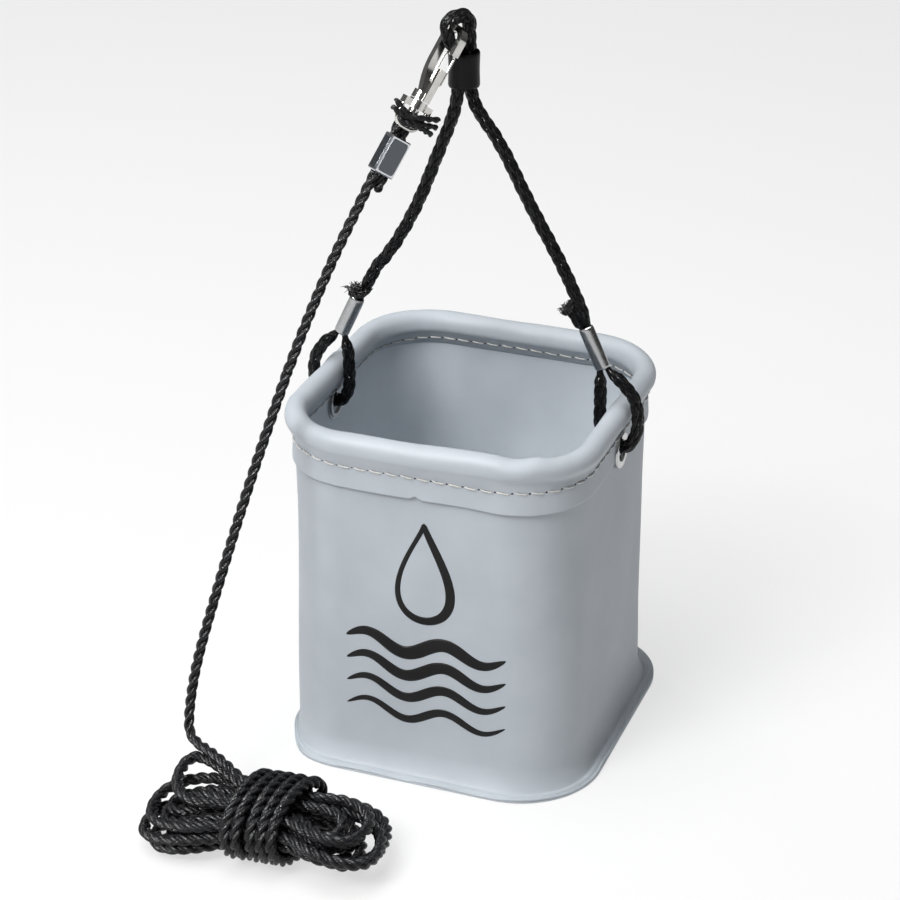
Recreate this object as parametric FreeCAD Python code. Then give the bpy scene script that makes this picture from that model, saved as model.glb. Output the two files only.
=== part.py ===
import FreeCAD, Part
import math
import os

os.makedirs("parts", exist_ok=True)
Vector = FreeCAD.Vector

# Bucket sheets and outline
mouth_width = 152.0
mouth_depth = 155.0
bucket_height = 184.0
corner_radius = 34.0
wall_sheet = 1.0
collar_sheet = 1.0
bottom_sheet = 1.2
lap_gap = 0.1
flare_out = 4.0
flare_height = 12.0
flange_width = 5.0

# Rolled rim
bead_diameter = 11.0
collar_drop = 27.0
stitch_drop = 15.5
inner_hem = 2.5
rim_fillet = 6.0
core_wall = 1.3
core_split = 0.6
joiner_length = 32.0

# Eyelets
eyelet_drop = 24.0
eyelet_bore = 10.4
eyelet_tube_wall = 0.6
eyelet_lip_diameter = 18.4
eyelet_lip_height = 1.6
eyelet_roll_diameter = 14.6
eyelet_roll_height = 1.0
washer_diameter = 17.2
washer_height = 0.9
edge_round = 0.5

# Handle cord, ferrules and sleeve
cord_diameter = 6.2
crimped_diameter = 3.0
crimp_gap = 0.1
moving_gap = 0.3
rim_clearance = 0.6
eyelet_slack = 0.8
left_ferrule_rise = 38.6
right_ferrule_rise = 41.2
left_ferrule_inset = 5.6
right_ferrule_inset = 8.8
ferrule_length = 22.5
ferrule_wall = 0.7
ferrule_lean = 24.5
cone_length = 8.0
loop_shoulder_drop = 10.0
left_tail_length = 9.0
right_tail_length = 15.0
tail_diameter = 5.4
tail_spread = 22.0
sleeve_rise = 175.6
sleeve_length = 16.4
sleeve_wall = 0.6
sleeve_slack = 0.5
sleeve_lead = 2.4
apex_shift = -5.0
loop_rise = 21.6
loop_half_width = 6.2
loop_shift = 3.3
loop_twist = 53.13

# Snap hook and swivel
hook_lean = 34.8
hook_thickness = 3.0
hook_width = 3.8
hook_spine_offset = 6.0
hook_nose_offset = 6.8
hook_nose_length = 12.5
hook_spine_length = 23.0
hook_length = 37.4
hook_base_height = 4.0
post_height = 13.0
post_thickness = 2.6
gate_wire = 1.3
gate_pivot_rise = 10.0
gate_tuck = 1.1
stem_diameter = 3.2
head_diameter = 5.2
head_height = 2.2
boss_diameter = 9.2
boss_height = 4.2
yoke_width = 17.0
yoke_height = 3.4
bow_wire = 2.2
bow_depth = 12.4

# Rope, its clamp and its end in the ring
rope_diameter = 5.0
strand_diameter = 2.4
strand_step = 2.6
clamp_length = 19.0
clamp_wall = 0.8
clamp_below_bow = 5.2
rope_tail = 3.0
rope_stub = 1.0
whisker_length = 9.0

# Hank on the floor
hank_x = -43.5
hank_y = -164.0
hank_turn = 5.0
nest_step = 6.8
layer_step = 6.0
waist_half_length = 15.0
bulb_centre = 37.0
bulb_inner_radius = 7.0
waist_inner_half = 1.3
end_droop = 9.0
floor_gap = 0.1
wrap_clearance = 2.6
wrap_start = 17.2
wrap_pitch = 5.9
layer_fan = 3.0
loose_reach = 8.0
loose_side = 17.0
loose_lift = 3.0

wrap_turns = 5
bend_share = 0.45
loop_flare_share = 0.36
wrap_slant_share = -0.16
hank_start_share = 0.2
hank_end_share = 0.5

# The leg routes: share along the straight line from ferrule to sleeve, share of its length inward
left_leg_shares = ((0.22, 0.032), (0.46, 0.050), (0.72, 0.034))
right_leg_shares = ((0.24, -0.012), (0.50, -0.004), (0.76, -0.012))
# The hanging rope: share along the straight line from clamp to landing, share of its length outward
rope_shares = (
    (0.06, 0.0113), (0.17, 0.036), (0.30, 0.053), (0.44, 0.0605),
    (0.60, 0.0525), (0.78, 0.036), (0.92, 0.014),
)
upper_rope_runs = 3
# The landing on the hank, as shares of its half length: along, across, up from its top layer
landing_shares = ((-0.86, 0.67, 0.31), (-0.74, 0.54, 0.13), (-0.51, 0.38, 0.108), (-0.27, 0.215, 0.004))
# Sideways and outward shares of the whisker length for the free strand ends
whisker_shares = ((-0.62, 0.30, 0.65), (-0.72, 0.10, 0.20), (1.25, 0.25, 0.35), (1.15, 0.05, -0.25))

half_width = mouth_width / 2
half_depth = mouth_depth / 2
up = Vector(0, 0, 1)


def save(name, shape):
    shape.exportStep("parts/" + name + ".step")
    print(name, "volume", round(shape.Volume, 1), "solids", len(shape.Solids))


def joined(shapes):
    return shapes[0].multiFuse(shapes[1:]).removeSplitter()


def around_mouth(face):
    # The face lies in the XZ plane, with x counted outward from the wall's outer face
    pieces = []
    for turn in range(4):
        across, along = (half_width, half_depth) if turn % 2 == 0 else (half_depth, half_width)
        run = 2 * (along - corner_radius)
        side = face.translated(Vector(across, -run / 2, 0)).extrude(Vector(0, run, 0))
        start = face.translated(Vector(across, run / 2, 0))
        corner = start.revolve(Vector(across - corner_radius, run / 2, 0), up, 90)
        for piece in (side, corner):
            piece.rotate(Vector(0, 0, 0), up, 90 * turn)
            pieces.append(piece)
    return joined(pieces)


def mouth_plate(outset, thickness):
    plate = Part.makeBox(
        mouth_width + 2 * outset, mouth_depth + 2 * outset, thickness,
        Vector(-half_width - outset, -half_depth - outset, 0),
    )
    uprights = [edge for edge in plate.Edges if abs(edge.tangentAt(edge.FirstParameter).z) > 0.5]
    return plate.makeFillet(corner_radius + outset, uprights)


def rounded_edges(points, share, label):
    # Straight runs joined by tangent arcs that use a share of the shorter run
    edges = []
    radii = []
    last = points[0]
    for before, corner, after in zip(points, points[1:], points[2:]):
        back = before - corner
        ahead = after - corner
        trim = share * min(back.Length, ahead.Length)
        half_turn = (math.pi - back.getAngle(ahead)) / 2
        radius = trim / math.tan(half_turn)
        back.normalize()
        ahead.normalize()
        inward = back + ahead
        inward.normalize()
        middle = corner + inward * (radius / math.cos(half_turn) - radius)
        edges.append(Part.LineSegment(last, corner + back * trim).toShape())
        edges.append(Part.Arc(corner + back * trim, middle, corner + ahead * trim).toShape())
        last = corner + ahead * trim
        radii.append(round(radius, 1))
    edges.append(Part.LineSegment(last, points[-1]).toShape())
    print(label, "bend radii", radii)
    return edges


def tube(edges, diameter, label):
    first = edges[0]
    start = first.valueAt(first.FirstParameter)
    heading = first.tangentAt(first.FirstParameter)
    ring = Part.Wire([Part.Circle(start, heading, diameter / 2).toShape()])
    solid = Part.Wire(edges).makePipeShell([ring], True, False)
    length = sum(edge.Length for edge in edges)
    wanted = math.pi * diameter ** 2 / 4 * length
    print(label, "length", round(length, 1), "volume share", round(solid.Volume / wanted, 4))
    return solid


def biarc(start, heading, end, end_heading):
    chord = end - start
    both = heading + end_heading
    spread = 2 * (1 - heading.dot(end_heading))
    if heading.cross(chord).Length < chord.Length * 1e-5 and heading.cross(end_heading).Length < 1e-5:
        return [Part.LineSegment(start, end).toShape()]
    if spread < 1e-9:
        reach = chord.dot(chord) / (4 * chord.dot(end_heading))
    else:
        reach = (math.sqrt(chord.dot(both) ** 2 + spread * chord.dot(chord)) - chord.dot(both)) / spread
    joint = (start + end + (heading - end_heading) * reach) * 0.5
    middle_heading = end - end_heading * reach - (start + heading * reach)
    middle_heading.normalize()
    return [arc_from(start, heading, joint), arc_from(joint, middle_heading, end)]


def arc_from(start, heading, end):
    chord = end - start
    across = chord - heading * chord.dot(heading)
    if across.Length < chord.Length * 1e-6:
        return Part.LineSegment(start, end).toShape()
    across.normalize()
    angle = heading.getAngle(chord)
    middle = (start + end) * 0.5 + (heading * math.sin(angle) - across * math.cos(angle)) * (
        chord.Length / 2 * math.tan(angle / 2)
    )
    return Part.Arc(start, middle, end).toShape()


def biarc_edges(keys):
    edges = []
    for (start, heading), (end, end_heading) in zip(keys, keys[1:]):
        edges.extend(biarc(start, heading, end, end_heading))
    return edges


def path_points(edges, step):
    points = []
    travelled = 0
    for edge in edges:
        count = max(2, int(edge.Length / step) + 1)
        for index, point in enumerate(edge.discretize(count)[:-1]):
            points.append((travelled + edge.Length * index / (count - 1), point))
        travelled += edge.Length
    return points


def least_gap(edges, diameter, label, others=()):
    # Least clear gap of a tube to itself, or to other tubes of the same size
    step = diameter / 4
    own = path_points(edges, step)
    rivals = [(None, point) for other in others for _, point in path_points(other, step)]
    cell = 2 * diameter
    grid = {}
    for item in rivals or own:
        point = item[1]
        grid.setdefault((int(point.x // cell), int(point.y // cell), int(point.z // cell)), []).append(item)
    least = cell
    for place, point in own:
        home = (int(point.x // cell), int(point.y // cell), int(point.z // cell))
        for shift in range(27):
            key = (home[0] + shift % 3 - 1, home[1] + shift // 3 % 3 - 1, home[2] + shift // 9 - 1)
            for other_place, other in grid.get(key, ()):
                if other_place is None or abs(other_place - place) > 3 * diameter:
                    least = min(least, point.distanceToPoint(other))
    print(label, "least gap", round(least - diameter, 2))


def ring_solid(outer, inner, height, place, axis):
    ring = Part.makeCylinder(outer / 2, height, place, axis)
    return ring.cut(Part.makeCylinder(inner / 2, height, place, axis))


def placed(shape, rotation, origin):
    moved = shape.copy()
    moved.Placement = FreeCAD.Placement(origin, rotation)
    return moved


# Bucket: one wall sheet with its foot turned out, a bottom sheet under it
bead_radius = bead_diameter / 2
bead_x = -wall_sheet / 2
bead_z = bucket_height - bead_radius
hem_outer = lap_gap + collar_sheet
fillet_x = hem_outer + rim_fillet
fillet_z = bead_z - math.sqrt((bead_radius + rim_fillet) ** 2 - (fillet_x - bead_x) ** 2)
foot_z = bottom_sheet + lap_gap
flange_out = flare_out + flange_width
wall_top = fillet_z - lap_gap


def wall_face():
    # The flare is an arc that leaves the wall upright and meets the flat foot
    bend_start = foot_z + wall_sheet + flare_height
    sweep = 2 * math.atan(flare_out / flare_height)
    bend = flare_height / math.sin(sweep)
    edges = []
    for offset in (0, wall_sheet):
        radius = bend + offset
        low = Vector(bend - radius * math.cos(sweep), 0, bend_start - radius * math.sin(sweep))
        middle = Vector(bend - radius * math.cos(sweep / 2), 0, bend_start - radius * math.sin(sweep / 2))
        edges.append((low, middle, Vector(-offset, 0, bend_start)))
    outer, inner = edges
    foot_top = foot_z + wall_sheet
    foot_inner = Vector(inner[0].x, 0, foot_z)
    lines = [
        Part.Arc(*outer).toShape(),
        Part.LineSegment(outer[2], Vector(0, 0, wall_top)).toShape(),
        Part.LineSegment(Vector(0, 0, wall_top), Vector(-wall_sheet, 0, wall_top)).toShape(),
        Part.LineSegment(Vector(-wall_sheet, 0, wall_top), inner[2]).toShape(),
        Part.Arc(inner[2], inner[1], inner[0]).toShape(),
        Part.LineSegment(inner[0], foot_inner).toShape(),
        Part.LineSegment(foot_inner, Vector(flange_out, 0, foot_z)).toShape(),
        Part.LineSegment(Vector(flange_out, 0, foot_z), Vector(flange_out, 0, foot_top)).toShape(),
        Part.LineSegment(Vector(flange_out, 0, foot_top), outer[0]).toShape(),
    ]
    return Part.Face(Part.Wire(lines))


def collar_face():
    # One strip of even thickness: outer leg, round the bead, short inner leg
    def contour(inset):
        radius = bead_radius - inset
        bend = rim_fillet + inset
        share = radius / (bead_radius + rim_fillet)
        out_x = fillet_x - bend
        in_x = 2 * bead_x - out_x
        reach_x = (fillet_x - bead_x) * share
        reach_z = (fillet_z - bead_z) * share
        slope = math.atan2(bead_z - fillet_z, fillet_x - bead_x) / 2
        drop_x = bend * math.cos(slope)
        drop_z = bend * math.sin(slope)
        low_out = bucket_height - collar_drop
        low_in = bucket_height - stitch_drop - inner_hem
        points = [
            Vector(out_x, 0, low_out),
            Vector(out_x, 0, fillet_z),
            Vector(fillet_x - drop_x, 0, fillet_z + drop_z),
            Vector(bead_x + reach_x, 0, bead_z + reach_z),
            Vector(bead_x, 0, bead_z + radius),
            Vector(bead_x - reach_x, 0, bead_z + reach_z),
            Vector(2 * bead_x - fillet_x + drop_x, 0, fillet_z + drop_z),
            Vector(in_x, 0, fillet_z),
            Vector(in_x, 0, low_in),
        ]
        edges = [
            Part.LineSegment(points[0], points[1]).toShape(),
            Part.Arc(points[1], points[2], points[3]).toShape(),
            Part.Arc(points[3], points[4], points[5]).toShape(),
            Part.Arc(points[5], points[6], points[7]).toShape(),
            Part.LineSegment(points[7], points[8]).toShape(),
        ]
        return edges, points[0], points[8]

    outer, outer_start, outer_end = contour(0)
    inner, inner_start, inner_end = contour(collar_sheet)
    ends = [
        Part.LineSegment(outer_start, inner_start).toShape(),
        Part.LineSegment(outer_end, inner_end).toShape(),
    ]
    return Part.Face(Part.Wire(Part.__sortEdges__(outer + inner + ends)))


core_radius = bead_radius - collar_sheet - lap_gap
eyelet_z = bucket_height - eyelet_drop
tube_diameter = eyelet_bore + 2 * eyelet_tube_wall
sheet_hole = tube_diameter + 2 * lap_gap


def eyelet_pieces(side):
    # Lip outside, tube through the sheets, rolled edge on the washer inside
    outward = Vector(side, 0, 0)
    seat = Vector(side * (half_width + hem_outer), 0, eyelet_z)
    inside = Vector(side * (half_width - wall_sheet), 0, eyelet_z)
    lip = ring_solid(eyelet_lip_diameter, eyelet_bore, eyelet_lip_height, seat, outward)
    crown = seat + outward * eyelet_lip_height
    rims = [edge for edge in lip.Edges if abs(edge.CenterOfMass.x - crown.x) < lap_gap and edge.Closed]
    lip = lip.makeFillet(2 * edge_round, rims)
    tube_length = hem_outer + wall_sheet + washer_height
    barrel = ring_solid(tube_diameter, eyelet_bore, tube_length, seat, outward * -1)
    roll_seat = inside - outward * washer_height
    roll = ring_solid(eyelet_roll_diameter, eyelet_bore, eyelet_roll_height, roll_seat, outward * -1)
    crown = roll_seat - outward * eyelet_roll_height
    rims = [edge for edge in roll.Edges if abs(edge.CenterOfMass.x - crown.x) < lap_gap and edge.Closed]
    roll = roll.makeFillet(edge_round, rims)
    washer = ring_solid(washer_diameter, sheet_hole, washer_height, inside, outward * -1)
    return joined([lip, barrel, roll]), washer


hole_start = Vector(-half_width - flange_out, 0, eyelet_z)
hole_cutter = Part.makeCylinder(sheet_hole / 2, mouth_width + 2 * flange_out, hole_start, Vector(1, 0, 0))
side_wall = around_mouth(wall_face()).cut(hole_cutter)
# The collar's inner hem is cut back round the washers
inner_width = mouth_width - 2 * wall_sheet
hem_start = Vector(-inner_width / 2, 0, eyelet_z)
hem_cutter = Part.makeCylinder(washer_diameter / 2 + lap_gap, inner_width, hem_start, Vector(1, 0, 0))
rim_collar = around_mouth(collar_face()).cut(hole_cutter.fuse(hem_cutter))
bottom_panel = mouth_plate(flange_out, bottom_sheet)
core_bore = core_radius - core_wall
bead_spot = Vector(bead_x, 0, bead_z)
rim_core, core_hollow = [
    around_mouth(Part.Face(Part.Wire([Part.Circle(bead_spot, Vector(0, 1, 0), radius).toShape()])))
    for radius in (core_radius, core_bore)
]
rim_core = rim_core.cut(core_hollow)
split_block = Part.makeBox(
    core_split, 2 * bead_diameter, 2 * bead_diameter,
    Vector(-core_split / 2, half_depth - bead_diameter, bead_z - bead_diameter),
)
rim_core = rim_core.cut(split_block)
rim_core_joiner = Part.makeCylinder(
    core_bore - lap_gap, joiner_length,
    Vector(-joiner_length / 2, half_depth + bead_x, bead_z), Vector(1, 0, 0),
)
save("side_wall", side_wall)
save("bottom_panel", bottom_panel)
save("rim_collar", rim_collar)
save("rim_core", rim_core)
save("rim_core_joiner", rim_core_joiner)
for side, name in ((-1, "left"), (1, "right")):
    eyelet, washer = eyelet_pieces(side)
    save(name + "_eyelet", eyelet)
    save(name + "_eyelet_washer", washer)

# Handle: a cord loop through each eyelet, crimped in a ferrule, both legs up to the sleeve
cord_radius = cord_diameter / 2
crimped_radius = crimped_diameter / 2
strand_offset = crimped_radius + crimp_gap / 2
hinge_z = eyelet_z + eyelet_bore / 2 - cord_radius - eyelet_slack
bead_line = half_width + bead_x
leg_out = bead_line + bead_radius + cord_radius + rim_clearance
leg_in = bead_line - bead_radius - cord_radius - rim_clearance
lean = math.radians(ferrule_lean)
ferrule_bore_width = 2 * strand_offset + crimped_diameter + 2 * crimp_gap
ferrule_bore_depth = crimped_diameter + 2 * crimp_gap
twist = math.radians(loop_twist)
loop_side = Vector(math.cos(twist), math.sin(twist), 0)
loop_through = Vector(math.sin(twist), -math.cos(twist), 0)
sleeve_low = Vector(apex_shift, 0, hinge_z + sleeve_rise)
sleeve_high = sleeve_low + up * sleeve_length
cord_pair = cord_radius + moving_gap
loop_top = sleeve_high.z + loop_rise - cord_radius


def stadium(width, depth, length, base, axis, across):
    # A bar with half-round edges
    half = (width - depth) / 2
    forward = axis.cross(across)
    signs = ((-1, -1), (1, -1), (1, 1), (-1, 1))
    corners = [across * (a * half) + forward * (b * depth / 2) for a, b in signs]
    lines = [
        Part.LineSegment(base + corners[0], base + corners[1]).toShape(),
        Part.Arc(base + corners[1], base + across * (width / 2), base + corners[2]).toShape(),
        Part.LineSegment(base + corners[2], base + corners[3]).toShape(),
        Part.Arc(base + corners[3], base - across * (width / 2), base + corners[0]).toShape(),
    ]
    return Part.Face(Part.Wire(lines)).extrude(axis * length)


def ferrule_frame(side):
    axis = Vector(-side * math.sin(lean), 0, math.cos(lean))
    outward = Vector(side * math.cos(lean), 0, math.sin(lean))
    rise = left_ferrule_rise if side < 0 else right_ferrule_rise
    inset = left_ferrule_inset if side < 0 else right_ferrule_inset
    return Vector(side * (half_width - inset), 0, hinge_z + rise), axis, outward


def handle_side(side, tail_length):
    low, axis, outward = ferrule_frame(side)
    wide = ferrule_bore_width + 2 * ferrule_wall
    deep = ferrule_bore_depth + 2 * ferrule_wall
    block = stadium(wide, deep, ferrule_length, low, axis, outward)
    bore = stadium(ferrule_bore_width, ferrule_bore_depth, ferrule_length, low, axis, outward)
    shoulder_z = low.z - loop_shoulder_drop
    loop_points = [
        low + outward * strand_offset,
        Vector(side * leg_out, 0, shoulder_z),
        Vector(side * leg_out, 0, hinge_z),
        Vector(side * leg_in, 0, hinge_z),
        Vector(side * leg_in, 0, shoulder_z),
        low - outward * strand_offset,
    ]
    cones = []
    for index, step in ((0, 1), (-1, -1)):
        end = loop_points[index]
        heading = loop_points[index + step] - end
        heading.normalize()
        root = end - heading * crimped_diameter
        cones.append(Part.makeCylinder(crimped_radius, crimped_diameter, root, heading))
        cones.append(Part.makeCone(crimped_radius, cord_radius, cone_length, end, heading))
        loop_points[index] = end + heading * cone_length
    loop = tube(rounded_edges(loop_points, bend_share, "cord loop"), cord_diameter, "cord loop")
    above = Part.makeBox(4 * wide, 4 * wide, ferrule_length, Vector(-2 * wide, -2 * wide, 0))
    above = placed(above, FreeCAD.Rotation(outward, Vector(0, 0, 0), axis, "ZXY"), low)
    loop = joined([loop] + cones).cut(above)
    tail_root = low - outward * (side * strand_offset)
    tail_heading = axis * math.cos(math.radians(tail_spread)) - outward * (
        side * math.sin(math.radians(tail_spread))
    )
    tail_rise = ferrule_length + crimped_radius / 2
    tail_top = tail_root + axis * tail_rise
    tail = joined([
        Part.makeCylinder(crimped_radius, tail_rise, tail_root, axis),
        Part.makeSphere(crimped_radius, tail_top),
        Part.makeCone(crimped_radius, tail_diameter / 2, tail_length, tail_top, tail_heading),
    ])
    return block.cut(bore), loop, tail


def leg_points(side, shares):
    # From the ferrule's top to the sleeve, bowed inward by shares of the straight length
    low, axis, outward = ferrule_frame(side)
    root = low + outward * (side * strand_offset)
    start = root + axis * (ferrule_length + cone_length)
    end = sleeve_low - up * (sleeve_lead / 2) + loop_side * (side * cord_pair)
    inward = Vector(-side * (end.z - start.z), 0, side * (end.x - start.x))
    inward.normalize()
    length = (end - start).Length
    points = [start, start + axis * (2 * cord_diameter)]
    for along, bow in shares:
        points.append(start + (end - start) * along + inward * (bow * length))
    points.append(end)
    return root, axis, points


left_root, left_axis, left_points = leg_points(-1, left_leg_shares)
right_root, right_axis, right_points = leg_points(1, right_leg_shares)
loop_middle = sleeve_high - loop_side * loop_shift
loop_flare = up * (loop_rise * loop_flare_share)
loop_height = up * (loop_top - sleeve_high.z)
loop_points = [
    sleeve_high + up * sleeve_lead - loop_side * cord_pair,
    loop_middle - loop_side * loop_half_width + loop_flare,
    loop_middle - loop_side * loop_half_width + loop_height,
    loop_middle + loop_side * loop_half_width + loop_height,
    loop_middle + loop_side * loop_half_width + loop_flare,
    sleeve_high + up * sleeve_lead + loop_side * cord_pair,
]
handle_points = left_points + loop_points + right_points[::-1]
handle_edges = rounded_edges(handle_points, bend_share, "handle cord")
handle_cord = tube(handle_edges, cord_diameter, "handle cord")
least_gap(handle_edges, cord_diameter, "handle cord")
leg_ends = []
for root, axis in ((left_root, left_axis), (right_root, right_axis)):
    top = root + axis * ferrule_length
    leg_ends.append(Part.makeCylinder(crimped_radius, ferrule_length, root, axis))
    leg_ends.append(Part.makeCone(crimped_radius, cord_radius, cone_length, top, axis))
save("handle_cord", joined([handle_cord] + leg_ends))
for side, name, tail_length in ((-1, "left", left_tail_length), (1, "right", right_tail_length)):
    ferrule, loop, tail = handle_side(side, tail_length)
    save(name + "_ferrule", ferrule)
    save(name + "_cord_loop", loop)
    save(name + "_cord_tail", tail)
sleeve_bore = 2 * (cord_pair + cord_radius + sleeve_slack)
sleeve_outer = sleeve_bore + 2 * sleeve_wall
sleeve = ring_solid(sleeve_outer, sleeve_bore, sleeve_length, sleeve_low, up)
sleeve_girth = math.pi * (sleeve_bore + sleeve_wall)
sleeve_rims = [edge for edge in sleeve.Edges if edge.Closed and edge.Length > sleeve_girth]
save("handle_sleeve", sleeve.makeFillet(edge_round / 2, sleeve_rims))

# Snap hook: x runs through the loop from spine to nose, z up along the hook, origin in the loop
tilt = math.radians(hook_lean)
hook_up = loop_side * math.sin(tilt) + up * math.cos(tilt)
hook_rotation = FreeCAD.Rotation(loop_through, Vector(0, 0, 0), hook_up, "ZXY")
section_reach = math.hypot(hook_thickness, hook_width) / 2
hook_origin = loop_middle + loop_height - up * (cord_radius + section_reach + 2 * moving_gap)
base_top = -hook_length + hook_base_height
nose_inside = hook_nose_offset - hook_thickness / 2
gate_x = nose_inside - moving_gap - gate_wire / 2
gate_z = base_top + gate_pivot_rise - hook_base_height
leg_y = hook_width / 2 + 2 * moving_gap + gate_wire / 2


def in_hook(shape):
    return placed(shape, hook_rotation, hook_origin)


def bar_along(points, thickness, width):
    # A rectangular bar on runs and arcs in the XZ plane, starting along z
    start = points[0]
    corners = [(-1, -1), (1, -1), (1, 1), (-1, 1), (-1, -1)]
    outline = [start + Vector(a * thickness / 2, b * width / 2, 0) for a, b in corners]
    edges = rounded_edges(points, bend_share, "hook")
    return Part.Wire(edges).makePipeShell([Part.makePolygon(outline)], True, False)


hook_bar = bar_along([
    Vector(hook_nose_offset, 0, -hook_nose_length),
    Vector(hook_nose_offset, 0, 0),
    Vector(-hook_spine_offset, 0, 0),
    Vector(-hook_spine_offset, 0, -hook_spine_length),
    Vector(0, 0, base_top - hook_base_height / 2),
], hook_thickness, hook_width)
hook_base = Part.makeCylinder(boss_diameter / 2, hook_base_height, Vector(0, 0, -hook_length))
post = Part.makeBox(
    post_thickness, hook_width, post_height + hook_base_height,
    Vector(gate_x - post_thickness / 2, -hook_width / 2, -hook_length),
)
post_hole = Part.makeCylinder(
    gate_wire / 2 + moving_gap, hook_width, Vector(gate_x, -hook_width / 2, gate_z), Vector(0, 1, 0)
)
stem_length = 2 * moving_gap + boss_height + head_height
stem = Part.makeCylinder(stem_diameter / 2, stem_length, Vector(0, 0, -hook_length - stem_length))
head = Part.makeCylinder(head_diameter / 2, head_height, Vector(0, 0, -hook_length - stem_length))
save("hook_body", in_hook(joined([hook_bar, hook_base, post, stem, head]).cut(post_hole)))
pin_y = gate_wire / 2
gate_top = -hook_nose_length + gate_tuck
wire_points = [
    Vector(gate_x, -pin_y, gate_z),
    Vector(gate_x, -leg_y, gate_z),
    Vector(gate_x, -leg_y, gate_top),
    Vector(gate_x, leg_y, gate_top),
    Vector(gate_x, leg_y, gate_z),
    Vector(gate_x, pin_y, gate_z),
]
save("wire_gate", in_hook(tube(rounded_edges(wire_points, bend_share, "gate"), gate_wire, "gate")))

# Swivel eye under the hook, free to spin on the stem
boss_z = -hook_length - moving_gap - boss_height
boss = ring_solid(boss_diameter, stem_diameter + 2 * moving_gap, boss_height, Vector(0, 0, boss_z), up)
yoke = Part.makeBox(hook_width, yoke_width, yoke_height, Vector(-hook_width / 2, -yoke_width / 2, boss_z))
yoke = yoke.cut(Part.makeCylinder(stem_diameter / 2 + moving_gap, boss_height, Vector(0, 0, boss_z)))
bow_y = yoke_width / 2 - bow_wire / 2
bow_z = boss_z - bow_depth + bow_wire
bow_points = [
    Vector(0, -bow_y, boss_z + yoke_height / 2),
    Vector(0, -bow_y, bow_z),
    Vector(0, bow_y, bow_z),
    Vector(0, bow_y, boss_z + yoke_height / 2),
]
bow = tube(rounded_edges(bow_points, bend_share, "bow"), bow_wire, "bow")
save("swivel_eye", in_hook(joined([boss, yoke, bow])))

# Rope end: strands over the bow, both legs through the clamp, a short melted tail
rope_radius = rope_diameter / 2
clamp_top = bow_z - clamp_below_bow
clamp_low = clamp_top - clamp_length
half_pair = (rope_diameter + lap_gap) / 2
bight_x = bow_wire / 2 + strand_diameter / 2 + moving_gap
bight_z = bow_z + bight_x + bow_wire / 2
core_top = clamp_top + strand_diameter / 2
rope_low = clamp_low - rope_stub
tail_low = clamp_low - rope_tail
rope_end = [
    Part.makeCylinder(rope_radius, core_top - rope_low, Vector(0, -half_pair, rope_low)),
    Part.makeCylinder(rope_radius, core_top - tail_low, Vector(0, half_pair, tail_low)),
    Part.makeSphere(rope_radius, Vector(0, half_pair, tail_low)),
]
for index in (-1, 0, 1):
    spread_y = index * strand_step
    root_y = index * (rope_radius - strand_diameter / 2)
    strand_points = [
        Vector(strand_diameter / 2, root_y - half_pair, clamp_top),
        Vector(bight_x, spread_y - half_pair, (clamp_top + bow_z) / 2),
        Vector(bight_x, spread_y - half_pair, bight_z),
        Vector(-bight_x, spread_y + half_pair, bight_z),
        Vector(-bight_x, spread_y + half_pair, (clamp_top + bow_z) / 2),
        Vector(-strand_diameter / 2, root_y + half_pair, clamp_top),
    ]
    rope_end.append(tube(rounded_edges(strand_points, bend_share, "strand"), strand_diameter, "strand"))
for side_share, out_share, up_share in whisker_shares:
    root_y = math.copysign(strand_step, side_share) - half_pair
    root = Vector(bight_x, root_y, bow_z + up_share * strand_step)
    heading = Vector(out_share, side_share, up_share)
    reach = heading.Length * whisker_length
    rope_end.append(Part.makeCylinder(strand_diameter / 2, reach, root, heading))
    rope_end.append(Part.makeSphere(strand_diameter / 2, root + heading * whisker_length))
clamp_bore, clamp_block = [
    Part.makeBox(
        rope_diameter + 2 * margin, rope_diameter + 2 * half_pair + 2 * margin, clamp_length,
        Vector(-rope_radius - margin, -half_pair - rope_radius - margin, clamp_low),
    )
    for margin in (lap_gap, lap_gap + clamp_wall)
]
clamp_block = clamp_block.makeChamfer(edge_round, clamp_block.Edges)
save("rope_end", in_hook(joined(rope_end)))
save("rope_clamp", in_hook(clamp_block.cut(clamp_bore)))

# Hank: eight loops in four layers, drawn in alike at the waist, then wrapped round the waist
nest_turns = ((0, 1.5), (1.5, 0), (4, 2.5), (6.5, 0), (8, 1.5))
layer_count = len(nest_turns) - 1
middle_layer = (layer_count - 1) / 2
hank_turns = nest_turns[-1][0]
most_nested = max(nest for _, nest in nest_turns)
hank_reach = bulb_centre + bulb_inner_radius + most_nested * nest_step
waist_gap = rope_diameter + wrap_clearance
wrap_half_height = middle_layer * layer_step + waist_gap
wrap_half_width = waist_inner_half + (most_nested - 0.25) * nest_step + waist_gap
wrap_across = nest_step / 4
wrap_middle = floor_gap + rope_radius + wrap_half_height
hank_centre = Vector(hank_x, hank_y, 0)
hank_bearing = FreeCAD.Rotation(up, hank_turn)


def nest_at(turn):
    for (start, first), (end, last) in zip(nest_turns, nest_turns[1:]):
        if turn <= end:
            return first + (last - first) * (turn - start) / (end - start)
    return nest_turns[-1][1]


def layer_at(turn):
    # Layers counted from the top, each climb spread over the half turn about a reversal
    layer = 0
    for reversal, _ in nest_turns[1:-1]:
        share = min(max((turn - reversal) * 2 + 0.5, 0), 1)
        layer += share * share * (3 - 2 * share)
    return layer


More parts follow.
